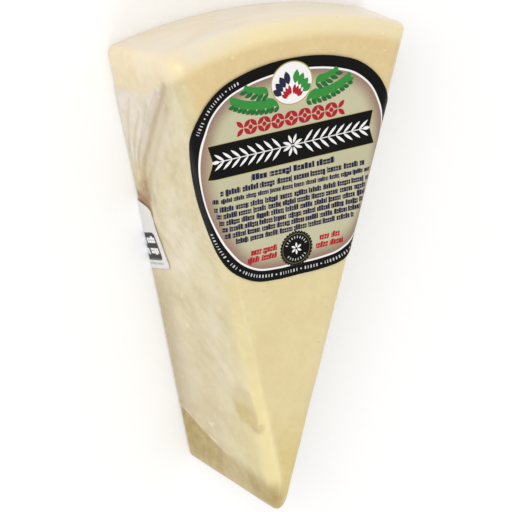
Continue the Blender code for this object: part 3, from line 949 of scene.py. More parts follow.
def grow(carrier, tree, values):
    """Runs a tree on an object and keeps the result as a plain mesh."""
    modifier = carrier.modifiers.new(tree.name, "NODES")
    modifier.node_group = tree
    for item in tree.interface.items_tree:
        if item.in_out == "INPUT" and item.name in values:
            modifier[item.identifier] = values[item.name]
    graph = bpy.context.evaluated_depsgraph_get()
    grown = carrier.evaluated_get(graph)
    mesh = bpy.data.meshes.new_from_object(grown, preserve_all_data_layers=True, depsgraph=graph)
    carrier.modifiers.remove(modifier)
    mesh.materials.clear()
    mesh.materials.append(values["Material"])
    mesh.polygons.foreach_set("material_index", np.zeros(len(mesh.polygons), np.int32))
    carrier.data = mesh
    mesh.name = carrier.name


def math_in(tree, operation, *values):
    return add_node(tree, "ShaderNodeMath", {"operation": operation}, *values).outputs[0]


def attribute_in(tree, name, kind="FLOAT"):
    node = add_node(tree, "GeometryNodeInputNamedAttribute", {"data_type": kind})
    node.inputs["Name"].default_value = name
    return node.outputs["Attribute"]


print("trees so far:", len(bpy.data.node_groups))

# %% [markdown]
# ## The film's puckers
# The film is one closed sheet over the cheese. Where it stands off, it gathers in fine puckers that run with the pull
# of the shrinking. They repeat over whole zones and follow the surface, so a Geometry Nodes tree makes them: it reads
# two coordinates that the mesh carries, one across the puckers and one along them, and lifts the film by a stretched
# noise. The named folds are in the mesh already.

# %% Pucker tree
PUCKER_LEVEL = 0.38  # the noise below this height presses the film in


def pucker_tree():
    tree, given, taken = tree_with("film_puckers", {
        "Pucker Height": "NodeSocketFloat", "Pucker Width": "NodeSocketFloat", "Pucker Length": "NodeSocketFloat",
        "Seed": "NodeSocketFloat", "Material": "NodeSocketMaterial",
    })
    across = math_in(tree, "DIVIDE", attribute_in(tree, "lane"), given.outputs["Pucker Width"])
    lengthways = math_in(tree, "DIVIDE", attribute_in(tree, "run"), given.outputs["Pucker Length"])
    where = add_node(tree, "ShaderNodeCombineXYZ", {}, across, lengthways, given.outputs["Seed"])
    wave = add_node(tree, "ShaderNodeTexNoise", {}, Vector=where.outputs[0], Scale=1.0, Detail=1.5)
    lift = math_in(tree, "SUBTRACT", wave.outputs[0], PUCKER_LEVEL)
    lift = math_in(tree, "MULTIPLY", lift, attribute_in(tree, "pucker"))
    lift = math_in(tree, "MULTIPLY", lift, given.outputs["Pucker Height"])
    normal = tree.nodes.new("GeometryNodeInputNormal").outputs[0]
    offset = add_node(tree, "ShaderNodeVectorMath", {"operation": "SCALE"}, Vector=normal, Scale=lift)
    moved = add_node(tree, "GeometryNodeSetPosition", {}, given.outputs["Geometry"], Offset=offset.outputs[0])
    close_tree(tree, moved.outputs[0], given, taken, True)
    return tree


puckers = pucker_tree()
print("pucker tree:", len(puckers.nodes), "nodes")

# %% [markdown]
# ## The film
# The film is a clear, glossy plastic. It is nearly invisible where it touches, and never more than a fifth opaque.
# Its gloss breaks up over the threads of the puckers.

# %% Film skin
FILM_MOST = 0.2
FILM_LEAST = 0.03


def film_finish():
    r = Recipe("clear_film")
    milk_and_sheen, tint, thread, cloud = milk_and_sheen_of(r)
    return r.finish(
        Base_Color=tint, Roughness=0.24, Alpha=(milk_and_sheen * FILM_MOST + FILM_LEAST).least(FILM_MOST),
        Coat_Weight=0.6, Coat_Roughness=0.10, Coat_IOR=1.5,
        Normal=r.bump(thread * r.field("pucker") + cloud * 0.3, 0.12),
    )


film_points = skin_points + skin_normals * (fold_relief - bed)[:, None]
film = mesh_piece("clear_film", film_points, skin_faces, fields=fields)
grow(film, puckers, {
    "Pucker Height": 0.40 * MM, "Pucker Width": 1.5, "Pucker Length": 14.0, "Seed": 4.0, "Material": film_finish(),
})
print("film:", len(film.data.polygons), "faces")
for skin in (cheese_body, film):
    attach(skin, "root")
    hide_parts("wrapped_cheese")

# %% [markdown]
# ## The label's sheet
# The label is a piece of coated paper shaped like a squat dome. It is wider than the wedge there, so it folds round
# both long edges. It could be cut with a Boolean from a thick shell, but a print needs flat coordinates. So the sheet
# is drawn flat as rings from its outline inwards, each point is laid on the wedge by the fold function, and its flat
# place stays with it as a UV map. A second map holds the distance along the rim and in from it.

# %% Folding a flat sheet
LABEL_HALF_OUTLINE = [
    (0, -7.7), (6.8, -7.7), (13.8, -6.7), (20.0, -3.0), (24.3, 2.6), (27.4, 8.8), (29.8, 15.2), (31.1, 22.0),
    (31.3, 29.1), (30.2, 36.5), (27.0, 43.5), (21.3, 48.7), (14.2, 51.5), (7.0, 52.9), (0, 53.3),
]
LABEL_CENTRE_SHIFT = 0.7
LABEL_PLACE = (2.2, 78.1)
LABEL_TURN = math.radians(3.3)
LABEL_POINTS = 336
CURVE_STEPS = 24
LABEL_DEEPEST_RING = 9.0
LABEL_INSETS = np.linspace(0, LABEL_DEEPEST_RING, 22)
LABEL_INNER_SHARES = (0.8, 0.6, 0.4, 0.2)
LABEL_LIFT = 0.07
LABEL_PAPER = 0.13
FOLDED_SIDES = ("left", "right")


def fold(x, y, lift, face):
    """Lays a point of a flat sheet on the upper or lower face, and past a long edge on to the cut side."""
    upper = face == "upper"
    home = THICKNESS if upper else 0.0
    toward = -1.0 if upper else 1.0
    for side in FOLDED_SIDES:
        (px, py), (dx, dy), (nx, ny) = flat_side(side, home, 0.0)
        c = corners_at(home)
        run = ((x - px) * dx + (y - py) * dy) / math.dist(c["point"], c[side])
        share = 1 - run if side == "left" else run
        push = float(left_push(share, home)) if side == "left" else 0.0
        radius = UPPER_ROUND[side] if upper else LOWER_ROUND
        past = radius - ((x - px) * nx + (y - py) * ny - push)
        if past <= 0:
            continue
        angle = max(math.pi / 2 - past / radius, 0.0)
        inset = radius * (1 - math.cos(angle))
        z = home + toward * (radius * (1 - math.sin(angle)) + max(past - radius * math.pi / 2, 0.0))
        foot = between(corners_at(z)["point"], corners_at(z)[side], share)
        further = between(corners_at(z + toward)["point"], corners_at(z + toward)[side], share)
        slant = -((further[0] - foot[0]) * nx + (further[1] - foot[1]) * ny)
        if side == "left":
            inset += float(left_push(share, z))
        out, rise = unit(math.cos(angle), slant * math.cos(angle) + math.sin(angle))
        reach = inset - lift * out
        return foot[0] + nx * reach, foot[1] + ny * reach, z - toward * lift * rise
    return x, y, home - toward * lift


print("the label's left corner lies at", [round(part, 1) for part in fold(-40.0, 110.0, LABEL_LIFT, "upper")])

# %% [markdown]
# ## Flat outlines
# The label's outline is a smooth curve through fifteen points of one half and their mirror image. Evenly spaced
# points on it make a ring, and a ring can be moved inwards by a distance, as the rim's inner edge is.

# %% Smooth outlines
def catmull_rom(a, b, c, d, t):
    """The smooth curve from b to c, at t from 0 to 1, that also heeds its neighbours a and d."""
    return 0.5 * (2 * b + (c - a) * t + (2 * a - 5 * b + 4 * c - d) * t**2 + (3 * b - a - 3 * c + d) * t**3)


def smooth_closed(points, count):
    """Evenly spaced points on a smooth closed curve through a few points, and the curve's length."""
    fine = []
    for i in range(len(points)):
        a, b, c, d = (points[(i + k) % len(points)] for k in (-1, 0, 1, 2))
        for step in range(CURVE_STEPS):
            fine.append(tuple(catmull_rom(*values, step / CURVE_STEPS) for values in zip(a, b, c, d)))
    fine.append(fine[0])
    fine = np.array(fine)
    marks = np.concatenate([[0], np.cumsum(np.hypot(*np.diff(fine, axis=0).T))])
    targets = marks[-1] * np.arange(count) / count
    return np.stack([np.interp(targets, marks, fine[:, k]) for k in (0, 1)], axis=1), marks[-1]


def inset_ring(ring, distance):
    """A closed counterclockwise ring moved inwards by a distance."""
    run = np.roll(ring, -1, axis=0) - np.roll(ring, 1, axis=0)
    run /= np.hypot(*run.T)[:, None]
    return ring + np.stack([-run[:, 1], run[:, 0]], axis=1) * distance


def label_to_front(a, b):
    """From the label's own flat frame to the plan of the front face."""
    cos, sin = math.cos(LABEL_TURN), math.sin(LABEL_TURN)
    return LABEL_PLACE[0] + a * cos - b * sin, LABEL_PLACE[1] + a * sin + b * cos


def label_edge():
    """The outline of the label as evenly spaced points, and its length."""
    left_half = [(-x, y) for x, y in reversed(LABEL_HALF_OUTLINE[1:-1])]
    points = [(x + LABEL_CENTRE_SHIFT, y) for x, y in LABEL_HALF_OUTLINE + left_half]
    return smooth_closed(points, LABEL_POINTS)


print("length of the label's edge in mm:", round(label_edge()[1], 1))

# %% [markdown]
# ## The sheet of paper
# The rings become faces, and every corner of a face notes its flat place and its place along the rim. Solidify gives
# the paper its thickness outwards.

# %% Label sheet
LABEL_CORE = 10.0  # added to the second map's distance between the deepest ring and the middle


def make_label_sheet():
    edge, length = label_edge()
    rings_flat = [inset_ring(edge, distance) for distance in LABEL_INSETS]
    middle = edge.mean(0)
    rings_flat += [middle + (rings_flat[-1] - middle) * share for share in LABEL_INNER_SHARES]
    insets = [*LABEL_INSETS, *(LABEL_DEEPEST_RING + LABEL_CORE * (1 - share) for share in LABEL_INNER_SHARES)]
    flat = np.concatenate([*rings_flat, [middle]])
    points = [fold(*label_to_front(*place), LABEL_LIFT, "upper") for place in flat]
    step = length / LABEL_POINTS
    faces, rim = [], []
    for level in range(len(rings_flat) - 1):
        low, high = level * LABEL_POINTS, (level + 1) * LABEL_POINTS
        outer, inner = insets[level], insets[level + 1]
        for i in range(LABEL_POINTS):
            j = (i + 1) % LABEL_POINTS
            here, ahead = i * step, (i + 1) * step
            faces.append((low + i, low + j, high + j, high + i))
            rim += [(here, outer), (ahead, outer), (ahead, inner), (here, inner)]
    last = (len(rings_flat) - 1) * LABEL_POINTS
    for i in range(LABEL_POINTS):
        faces.append((last + i, last + (i + 1) % LABEL_POINTS, len(flat) - 1))
        rim += [(i * step, insets[-1]), ((i + 1) * step, insets[-1]), (i * step, 2 * LABEL_DEEPEST_RING)]
    sheet = [flat[k] for face in faces for k in face]
    maps = {"sheet": np.array(sheet) / MAP_SIZE, "rim": np.array(rim) / MAP_SIZE}
    return mesh_piece("front_label_sheet", points, faces, maps)


def give_thickness(sheet, thickness):
    """Paper thickness, outwards from the side that faces the wedge."""
    solid = sheet.modifiers.new("paper", "SOLIDIFY")
    solid.thickness = thickness * MM
    solid.offset = 1.0


label_sheet = make_label_sheet()
give_thickness(label_sheet, LABEL_PAPER)
print("label:", len(label_sheet.data.polygons), "faces")

# %% [markdown]
# ## Shapes for printing
# A printed shape is a distance: below zero inside the shape and above zero outside. Boxes, ovals and slanted ends are
# a few sums each. Turning the distance into a mask gives a clean edge at any size, which an image could not. Small
# print becomes rows of plain blocks, which keep its size, weight and spacing and are no letters.

# %% Printed shapes
def inside(distance, soft=0.10):
    """1 inside a shape and 0 outside, with a slightly soft edge like ink on paper."""
    return distance.step(soft / 2, -soft / 2)


def box(x, y, middle, half):
    """A rectangle from its middle and its half sides."""
    return ((x - middle[0]).size() - half[0]).most((y - middle[1]).size() - half[1])


def oval(x, y, middle, half):
    """An oval from its middle and its half axes."""
    across, rise = (x - middle[0]) / half[0], (y - middle[1]) / half[1]
    return ((across * across + rise * rise).root() - 1.0) * min(half)


def block_row(r, x, y, middle, height, seed, pitch_share=0.62):
    """Plain upright blocks in groups, of uneven width and height. height is that of a tall block."""
    pitch = height * pitch_share
    place = x / pitch
    cell = place.whole()
    first, second = r.chance(cell + seed), r.chance(cell + (seed + 57.3))
    group = x / (pitch * 6.3)
    gap = group.rest() > 0.86 + 0.08 * r.chance(group.whole() + seed * 3.0)
    rise = (y - middle) / height + 0.5
    top = 0.82 + 0.18 * (first > 0.65)
    foot = 0.0 - 0.22 * (second > 0.9)
    block = inside((place.rest() - 0.5).size() - (0.42 + 0.07 * second), 0.16)
    block = block * inside(rise - top, 0.1) * inside(foot - rise, 0.1)
    slit = inside((rise - 0.38).size() - 0.05, 0.1) * (first < 0.4)
    return block * (1.0 - slit * 0.65) * (1.0 - gap)


print("soft edge of a printed shape in mm:", inside.__defaults__[0])

# %% [markdown]
# ## The label's print
# The print is made of plain fields: a black rim, a white line inside it, a cream ground that turns rosy near the
# line, a black banner with split ends, a round badge above and a black seal below. Where the real pack has words,
# this one has rows of blocks and ornaments. Each shape is placed in millimetres from the seal's centre.

# %% Label finish
RIM_WIDTH = 3.1
LINE_WIDTH = 0.55
BANNER_MIDDLE, BANNER_HALF, BANNER_SPLIT, BANNER_TILT = (0.1, 29.5), (25.3, 4.7), 1.3, 0.016
BADGE_MIDDLE, BADGE_HALF = (0.6, 46.6), (6.4, 5.95)
BADGE_LINE = 0.32
STEM_HALF = (22.6, 0.13)
SEAL_RADIUS, SEAL_RING, SEAL_RING_HALF = 4.75, 4.25, 0.08
DARK_ROWS = [  # level, height, seed, pitch share, half length
    (22.95, 1.75, 3.0, 0.66, 12.9), (20.35, 1.65, 31.0, 0.5, 22.3), (18.1, 1.3, 43.0, 0.45, 24.2),
]
SMALL_ROWS = {"top": 15.75, "pitch": 1.94, "count": 6, "height": 1.55, "half": 23.8}
RED_ROWS = [  # middle, half length, level, seed
    (-10.0, 4.0, 1.75, 11.0), (-10.6, 4.5, -0.35, 23.0), (10.6, 3.2, 1.6, 37.0), (10.5, 4.3, -0.6, 41.0),
]
RED_ROW_HEIGHT, RED_SLANT = 1.7, 0.25

PAPER_GLOSS = 0.12
PAPER_GRAIN = 0.015
INK_BLACK = colour(6, 5, 3)
INK_NAVY = colour(30, 28, 58)
INK_RED = colour(168, 20, 36)
INK_GREEN = colour(48, 136, 54)
INK_DARK_GREEN = colour(26, 100, 44)
INK_GOLD = colour(176, 160, 100)
INK_WHITE = colour(236, 234, 232)
INK_PALE = colour(200, 200, 202)
PAPER_CREAM = colour(192, 187, 155)
PAPER_PALE = colour(186, 182, 149)
PAPER_ROSY = colour(138, 106, 90)


def banner_shape(x, y):
    """The black banner: a long box, a little tilted, whose ends are cut to a notch."""
    reach = (x - BANNER_MIDDLE[0]).size() - BANNER_HALF[0]
    rise = (y - BANNER_MIDDLE[1] - x * BANNER_TILT).size()
    cut = reach + BANNER_SPLIT - rise * (BANNER_SPLIT / BANNER_HALF[1])
    return cut.most(reach).most(rise - BANNER_HALF[1])


def red_rows(r, x, y):
    """Two short slanted rows on each side of the seal."""
    leaning = x - RED_SLANT * y
    rows = 0.0
    for middle, half, level, seed in RED_ROWS:
        row = block_row(r, leaning, y, level, RED_ROW_HEIGHT, seed, 0.5)
        rows = row * inside(box(x, y, (middle, level), (half, 1.3))) + rows
    return rows.least(1.0)


def dark_rows(r, x, y):
    """All rows of small dark print: one bold, one middle, one fine, and a block of small ones."""
    bold, middle, fine = (
        block_row(r, x, y, level, height, seed, pitch_share) * inside(x.size() - half)
        for level, height, seed, pitch_share, half in DARK_ROWS
    )
    pitch, top = SMALL_ROWS["pitch"], SMALL_ROWS["top"]
    row = ((top - y) / pitch + 0.5).whole()
    small = block_row(r, x + row * 3.7, y + row * pitch, top, SMALL_ROWS["height"], row * 17.7, 0.46)
    small = small * inside(x.size() - (SMALL_ROWS["half"] - row * 0.62 - (row > 4.5) * 2.3))
    last = top - (SMALL_ROWS["count"] - 0.5) * pitch
    return bold.most(middle).most(fine).most(small * inside(last - y) * inside(y - top - pitch / 2))


def label_finish():
    r = Recipe("label_print")
    x, y = r.flat("sheet")
    _, from_rim = r.flat("rim")
    fibre = r.noise(r.place((0.5, 0.5, 0.5)), 2.0)
    cloud = r.noise(r.place((14.0, 14.0, 14.0)), 2.0)
    rosy = from_rim.step(RIM_WIDTH + 5.4, RIM_WIDTH + 0.3)
    paint = r.mix(rosy * 0.9, r.mix(cloud.step(0.3, 0.7), PAPER_CREAM, PAPER_PALE), PAPER_ROSY)
    paint = r.mix(fibre.step(0.3, 0.8) * 0.05, paint, INK_WHITE)
    paint = r.mix(dark_rows(r, x, y), paint, INK_NAVY)
    paint = r.mix(red_rows(r, x, y), paint, INK_RED)
    line = inside((from_rim - RIM_WIDTH - LINE_WIDTH / 2).size() - LINE_WIDTH / 2)
    paint = r.mix(line, paint, INK_WHITE)
    paint = r.mix(inside(from_rim - RIM_WIDTH), paint, INK_BLACK)
    banner = banner_shape(x, y)
    paint = r.mix(inside(banner - 0.2) * 0.8, paint, INK_GOLD)
    paint = r.mix(inside(banner), paint, INK_BLACK)
    stem = inside((y - BANNER_MIDDLE[1] - x * BANNER_TILT).size() - STEM_HALF[1])
    stem = stem * inside(x.size() - STEM_HALF[0])
    paint = r.mix(stem, paint, INK_WHITE)
    badge = oval(x, y, BADGE_MIDDLE, BADGE_HALF)
    paint = r.mix(inside(badge), paint, INK_GOLD)
    paint = r.mix(inside(badge + BADGE_LINE), paint, INK_WHITE)
    radius = (x * x + y * y).root()
    paint = r.mix(inside(radius - SEAL_RADIUS), paint, INK_BLACK)
    paint = r.mix(inside((radius - SEAL_RING).size() - SEAL_RING_HALF) * 0.45, paint, INK_GOLD)
    return r.finish(
        Base_Color=paint, Roughness=0.40 + fibre * 0.10, Specular_IOR_Level=PAPER_GLOSS,
        Normal=r.bump(fibre + cloud * 2.0, PAPER_GRAIN),
    )


label_sheet.data.materials.append(label_finish())
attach(label_sheet, "root")
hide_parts("front_label")
print("label print:", len(label_sheet.data.materials[0].node_tree.nodes), "nodes")

# %% [markdown]
# ## Stamped ornaments
# Leaves, flowers, bars and dots repeat over the label: a laurel on the banner, leafy branches beside the badge, a
# row of small flowers, marks along the rim and the seal's scallops. Each is one flat shape set down many times, so a
# Geometry Nodes tree does it. Python lists the places as numbers in the label's flat frame and lays them on the
# folded label; the tree puts the shape on every place, turned and sized by what the place carries.

# %% Stamp trees
def stamp_tree(shape):
    """A tree that sets down one flat shape: a bar, a disc, or a leaf that is pointed at both ends."""
    tree, given, taken = tree_with("stamp_" + shape, {
        "Corners": "NodeSocketInt", "Material": "NodeSocketMaterial",
    })
    if shape == "bar":
        flat_shape = add_node(tree, "GeometryNodeMeshCube", {}, Size=(1.0, 1.0, 1.0)).outputs[0]
    else:
        flat_shape = add_node(
            tree, "GeometryNodeMeshCylinder", {}, Vertices=given.outputs["Corners"], Radius=0.5, Depth=1.0,
        ).outputs[0]
    if shape == "leaf":
        split = add_node(tree, "ShaderNodeSeparateXYZ", {}, tree.nodes.new("GeometryNodeInputPosition").outputs[0])
        across = split.outputs[1]
        pointed = math_in(tree, "MULTIPLY", across, math_in(tree, "ABSOLUTE", across))
        pointed = math_in(tree, "MULTIPLY", pointed, 2.0)
        place = add_node(tree, "ShaderNodeCombineXYZ", {}, split.outputs[0], pointed, split.outputs[2])
        flat_shape = add_node(
            tree, "GeometryNodeSetPosition", {}, flat_shape, Position=place.outputs[0],
        ).outputs[0]
    facing, heading = (attribute_in(tree, name, "FLOAT_VECTOR") for name in ("facing", "heading"))
    axes = {"primary_axis": "Z", "secondary_axis": "X"}
    turned = add_node(tree, "FunctionNodeAxesToRotation", axes, facing, heading)
    stamped = add_node(
        tree, "GeometryNodeInstanceOnPoints", {}, Points=given.outputs["Geometry"], Instance=flat_shape,
        Rotation=turned.outputs[0], Scale=attribute_in(tree, "measure", "FLOAT_VECTOR"),
    )
    close_tree(tree, stamped.outputs[0], given, taken, False)
    return tree


STAMPS = {shape: stamp_tree(shape) for shape in ("bar", "disc", "leaf")}
print("stamps:", ", ".join(STAMPS))

# %% [markdown]
# ## Inks and stamping
# Ink is a thin satin layer that shows a little of the paper's fibre. Where two flat shapes of one height overlap, a
# render shows black spots, so neighbours differ in thickness and a whole layer can stand higher.

# %% Inks and stamping
STAMP_HEIGHT = 0.03
STAMP_STEP = 0.009
STAMP_HEIGHTS = 7
STAMP_LAYER = 0.05
STAMP_LIFT = LABEL_LIFT + LABEL_PAPER + 0.008
STAMP_REACH = 0.05  # how far ahead and aside the label's slope is felt
DISC_CORNERS = 20


def ink(name, paint):
    r = Recipe(name)
    fibre = r.noise(r.place((0.5, 0.5, 0.5)), 2.0)
    return r.finish(
        Base_Color=r.mix(fibre * 0.02, paint, INK_WHITE), Roughness=0.42 + fibre * 0.1,
        Specular_IOR_Level=PAPER_GLOSS,
    )


INKS = {name: ink(name, paint) for name, paint in (
    ("white_ink", INK_WHITE), ("pale_ink", INK_PALE), ("red_ink", INK_RED), ("green_ink", INK_GREEN),
    ("dark_green_ink", INK_DARK_GREEN), ("navy_ink", INK_NAVY), ("black_ink", INK_BLACK),
)}


def stamp(name, shape, paint, places, layer=0):
    """Sets down a shape at places (x, y, heading in degrees, length, width) of the label's flat frame.

    Neighbours overlap, so each is a little thicker than the one before, and a whole layer can stand higher.
    """
    points, headings, facings, measures = [], [], [], []
    for count, (x, y, degrees, length, width) in enumerate(places):
        turn = math.radians(degrees)
        dx, dy = STAMP_REACH * math.cos(turn), STAMP_REACH * math.sin(turn)
        here, ahead, aside = (
            Vector(fold(*label_to_front(x + a, y + b), STAMP_LIFT + layer * STAMP_LAYER, "upper"))
            for a, b in ((0, 0), (dx, dy), (-dy, dx))
        )
        heading = (ahead - here).normalized()
        points.append(tuple(here))
        headings.append(heading)
        facings.append(heading.cross(aside - here).normalized())
        measures.append((length * MM, width * MM, (STAMP_HEIGHT + STAMP_STEP * (count % STAMP_HEIGHTS)) * MM))
    piece = mesh_piece(name, points, [])
    for field_name, values in (("heading", headings), ("facing", facings), ("measure", measures)):
        field = piece.data.attributes.new(field_name, "FLOAT_VECTOR", "POINT")
        field.data.foreach_set("vector", np.array(values, np.float32).ravel())
    grow(piece, STAMPS[shape], {"Corners": DISC_CORNERS, "Material": INKS[paint]})
    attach(piece, "root")
    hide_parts("front_label")
    print(f"{name}: {len(places)} stamps, {len(piece.data.polygons)} faces")


print("inks:", ", ".join(INKS))

# %% [markdown]
# ## Leaves
# A leaf starts at a foot and grows along its heading, so its middle lies half a length on. The laurel mirrors
# itself about a small flower, and a row of red flowers with dots between them stands above it.

# %% Laurel and flowers
def leaf(foot_x, foot_y, degrees, length, width):
    """A leaf's place from its foot."""
    turn = math.radians(degrees)
    return foot_x + length / 2 * math.cos(turn), foot_y + length / 2 * math.sin(turn), degrees, length, width


def flower(x, y, petals, length, width, start, reach=0.15):
    """Petals round a middle."""
    places = []
    for k in range(petals):
        degrees = start + 360 * k / petals
        turn = math.radians(degrees)
        places.append(leaf(x + reach * math.cos(turn), y + reach * math.sin(turn), degrees, length, width))
    return places


def banner_level(x):
    return BANNER_MIDDLE[1] + x * BANNER_TILT


LAUREL_PAIRS, LAUREL_START, LAUREL_PITCH = 8, 3.5, 2.45
laurel = flower(0.1, banner_level(0.1), 8, 2.7, 0.8, 22.5, 0.5)
for side in (-1, 1):
    for k in range(LAUREL_PAIRS):
        foot = 0.1 + side * (LAUREL_START + LAUREL_PITCH * k)
        slope = 48 - 1.5 * k
        for up_or_down in (-1, 1):
            degrees = up_or_down * slope if side > 0 else 180 - up_or_down * slope
            laurel.append(leaf(foot, banner_level(foot), degrees, 4.2 - 0.07 * k, 0.74))
    laurel.append(leaf(side * 21.9, banner_level(side * 21.9), 0 if side > 0 else 180, 2.4, 1.0))
stamp("banner_laurel", "leaf", "white_ink", laurel)

FLOWERS, FLOWER_START, FLOWER_PITCH, FLOWER_LEVEL = 8, -14.4, 4.12, 37.0
red_flowers, red_dots = [], []
for k in range(FLOWERS):
    x = FLOWER_START + FLOWER_PITCH * k
    red_flowers += flower(x, FLOWER_LEVEL, 4, 2.75, 1.3, 45, 0.15)
    if k < FLOWERS - 1:
        red_dots.append((x + FLOWER_PITCH / 2, FLOWER_LEVEL, 0, 1.25, 1.25))
stamp("red_flowers", "leaf", "red_ink", red_flowers)
stamp("red_dots", "disc", "red_ink", red_dots, 1)

# %% [markdown]
# ## Branches and badge
# Two bent branches grow out on each side of the badge, with light green leaves above the stem and dark green ones
# below. A stem is a curve through three points, so its slope at every leaf is known. Two fans of leaves stand inside
# the badge.

# %% Branches and badge
BRANCHES = [
    [(-3.6, 41.0), (-10.8, 40.1), (-16.8, 43.2)], [(-6.6, 45.0), (-9.6, 44.8), (-12.8, 46.6)],
    [(4.8, 41.0), (12.0, 40.3), (17.6, 43.6)], [(7.8, 45.2), (10.8, 45.1), (13.9, 46.9)],
]
BRANCH_SPLIT = 43.0  # branches that start below this level are the long ones
LEAF_PITCH = 1.25
light_leaves, dark_leaves = [], []
for near, middle, far in BRANCHES:
    low_one = near[1] < BRANCH_SPLIT
    count = round(math.dist(near, far) / LEAF_PITCH)
    for k in range(count):
        t = k / (count - 1)
        x, y = ((1 - t) ** 2 * a + 2 * t * (1 - t) * b + t * t * c for a, b, c in zip(near, middle, far))
        dx, dy = (2 * (1 - t) * (b - a) + 2 * t * (c - b) for a, b, c in zip(near, middle, far))
        along = math.degrees(math.atan2(dy, dx))
        outer = 1 if near[0] > 0 else -1
        light_leaves.append(leaf(x, y, along + 46 * outer, (4.4 if low_one else 3.2) - 1.3 * t, 1.7))
        dark_leaves.append(leaf(x, y, along - 38 * outer, (2.1 if low_one else 2.8) - 0.3 * t, 1.15))
        if k % 2:
            light_leaves.append(leaf(x, y, along, 2.4, 1.1))
stamp("light_green_leaves", "leaf", "green_ink", light_leaves)
stamp("dark_green_leaves", "leaf", "dark_green_ink", dark_leaves, 1)

FAN_DROP = 4.9
FAN_FOOT = (BADGE_MIDDLE[0], BADGE_MIDDLE[1] - FAN_DROP)
inner_leaves, left_leaves, right_leaves = [], [], []
for side, outer_leaves in ((-1, left_leaves), (1, right_leaves)):
    for k in range(4):
        degrees = 90 - side * (12 + 15 * k)
        turn = math.radians(degrees)
        fans = ((inner_leaves, 1.8, 2.8, 1.0), (outer_leaves, 4.7 - 0.3 * k, 3.8, 1.9))
        for leaves, start, length, width in fans:
            x, y = FAN_FOOT[0] + start * math.cos(turn), FAN_FOOT[1] + start * math.sin(turn)
            leaves.append(leaf(x, y, degrees, length - 0.25 * k, width))
stamp("badge_red_leaves", "leaf", "red_ink", inner_leaves)
stamp("badge_navy_leaves", "leaf", "navy_ink", left_leaves)
stamp("badge_green_leaves", "leaf", "green_ink", right_leaves)

# %% [markdown]
# ## Rim marks and seal
# Small white marks follow the rim in groups, along the upper left and along the whole lower edge. They are plain bars
# of uneven width with a dot between the groups. The seal has a scalloped edge, a ring of short bars and a flower.

# %% Rim and seal stamps
RIM_GROUPS = {
    "upper": ((-28.4, 37.4), (-13.0, 49.6), (5, 9, 4)),
    "lower": ((-26.2, 7.4), (27.6, 7.4), (9, 3, 11, 7, 5, 9, 8, 4)),
}
RIM_MIDDLE = 20.0  # groups that start above this level run against the outline's direction
MARK_HEIGHT = 0.86
MARK_WIDTHS = [0.18, 0.26, 0.4]
MARK_DOT = 0.5
GAPS_BETWEEN_GROUPS = 3


def rim_path(start, end):
    """Places along the middle of the rim, from one end to the other, and how far each is walked."""
    edge, _ = label_edge()
    middle = inset_ring(edge, RIM_WIDTH / 2)
    first, last = (int(np.argmin(np.hypot(*(middle - np.array(end_place)).T))) for end_place in (start, end))
    step = 1 if start[1] < RIM_MIDDLE else -1
    walked = [first]
    while walked[-1] != last:
        walked.append((walked[-1] + step) % len(middle))
    places = middle[walked]
    marks = np.concatenate([[0], np.cumsum(np.hypot(*np.diff(places, axis=0).T))])
    return places, marks


def on_path(at, walked, places):
    return tuple(float(np.interp(at, walked, places[:, k])) for k in (0, 1))


chance = np.random.default_rng(11)
rim_bars, rim_dots = [], []
for start, end, groups in RIM_GROUPS.values():
    places, walked = rim_path(start, end)
    widths = [list(chance.choice(MARK_WIDTHS, size)) for size in groups]
    used = sum(sum(group) for group in widths)
    gap = (walked[-1] - used) / (sum(groups) + GAPS_BETWEEN_GROUPS * len(groups))
    at = 0.0
    for index, group in enumerate(widths):
        for width in group:
            x, y = on_path(at + width / 2, walked, places)
            ahead_x, ahead_y = on_path(at + width / 2 + MARK_WIDTHS[-1], walked, places)
            heading = math.degrees(math.atan2(ahead_y - y, ahead_x - x))
            rim_bars.append((x, y, heading, width, MARK_HEIGHT))
            at += width + gap
        if index < len(groups) - 1:
            rim_dots.append((*on_path(at + gap, walked, places), 0, MARK_DOT, MARK_DOT))
        at += GAPS_BETWEEN_GROUPS * gap
stamp("rim_bars", "bar", "pale_ink", rim_bars)
stamp("rim_dots", "disc", "pale_ink", rim_dots)

SCALLOPS, SCALLOP_REACH, SCALLOP_WIDTH = 32, 4.7, 0.8
SEAL_BAR_REACH = 3.25
round_the_seal = [math.tau * k / SCALLOPS for k in range(SCALLOPS)]
stamp("seal_scallops", "disc", "black_ink", [
    (SCALLOP_REACH * math.cos(turn), SCALLOP_REACH * math.sin(turn), 0, SCALLOP_WIDTH, SCALLOP_WIDTH)
    for turn in round_the_seal
])
seal_bars = []
for middle, count in ((90, 10), (270, 8)):
    for k in range(count):
        degrees = middle + (k - (count - 1) / 2) * 15
        turn = math.radians(degrees)
        seal_bars.append((SEAL_BAR_REACH * math.cos(turn), SEAL_BAR_REACH * math.sin(turn), degrees, 0.7, 0.24))
stamp("seal_bars", "bar", "pale_ink", seal_bars)
stamp("seal_flower", "leaf", "white_ink", flower(0.0, 0.0, 6, 1.5, 0.62, 30, 0.25))

# %% [markdown]
# ## The sticker
# The sticker is a rectangle of white paper. On the left face it stands a hair proud, and where it goes under the
# wedge it sinks into its bed. It is folded by the same function as the label, this time from the lower face.

# %% Sticker sheet
STICKER_COLUMNS = 36
STICKER_ROWS = 72
STICKER_PAPER = 0.10
STICKER_LIFT = {"under": -0.24, "side": 0.05}


def corner_trim(distance, radius):
    """How far a rounded corner has stepped in, at a distance from the sheet's end."""
    if distance >= radius:
        return 0.0
    return radius - math.sqrt(max(radius**2 - (radius - distance) ** 2, 0.0))


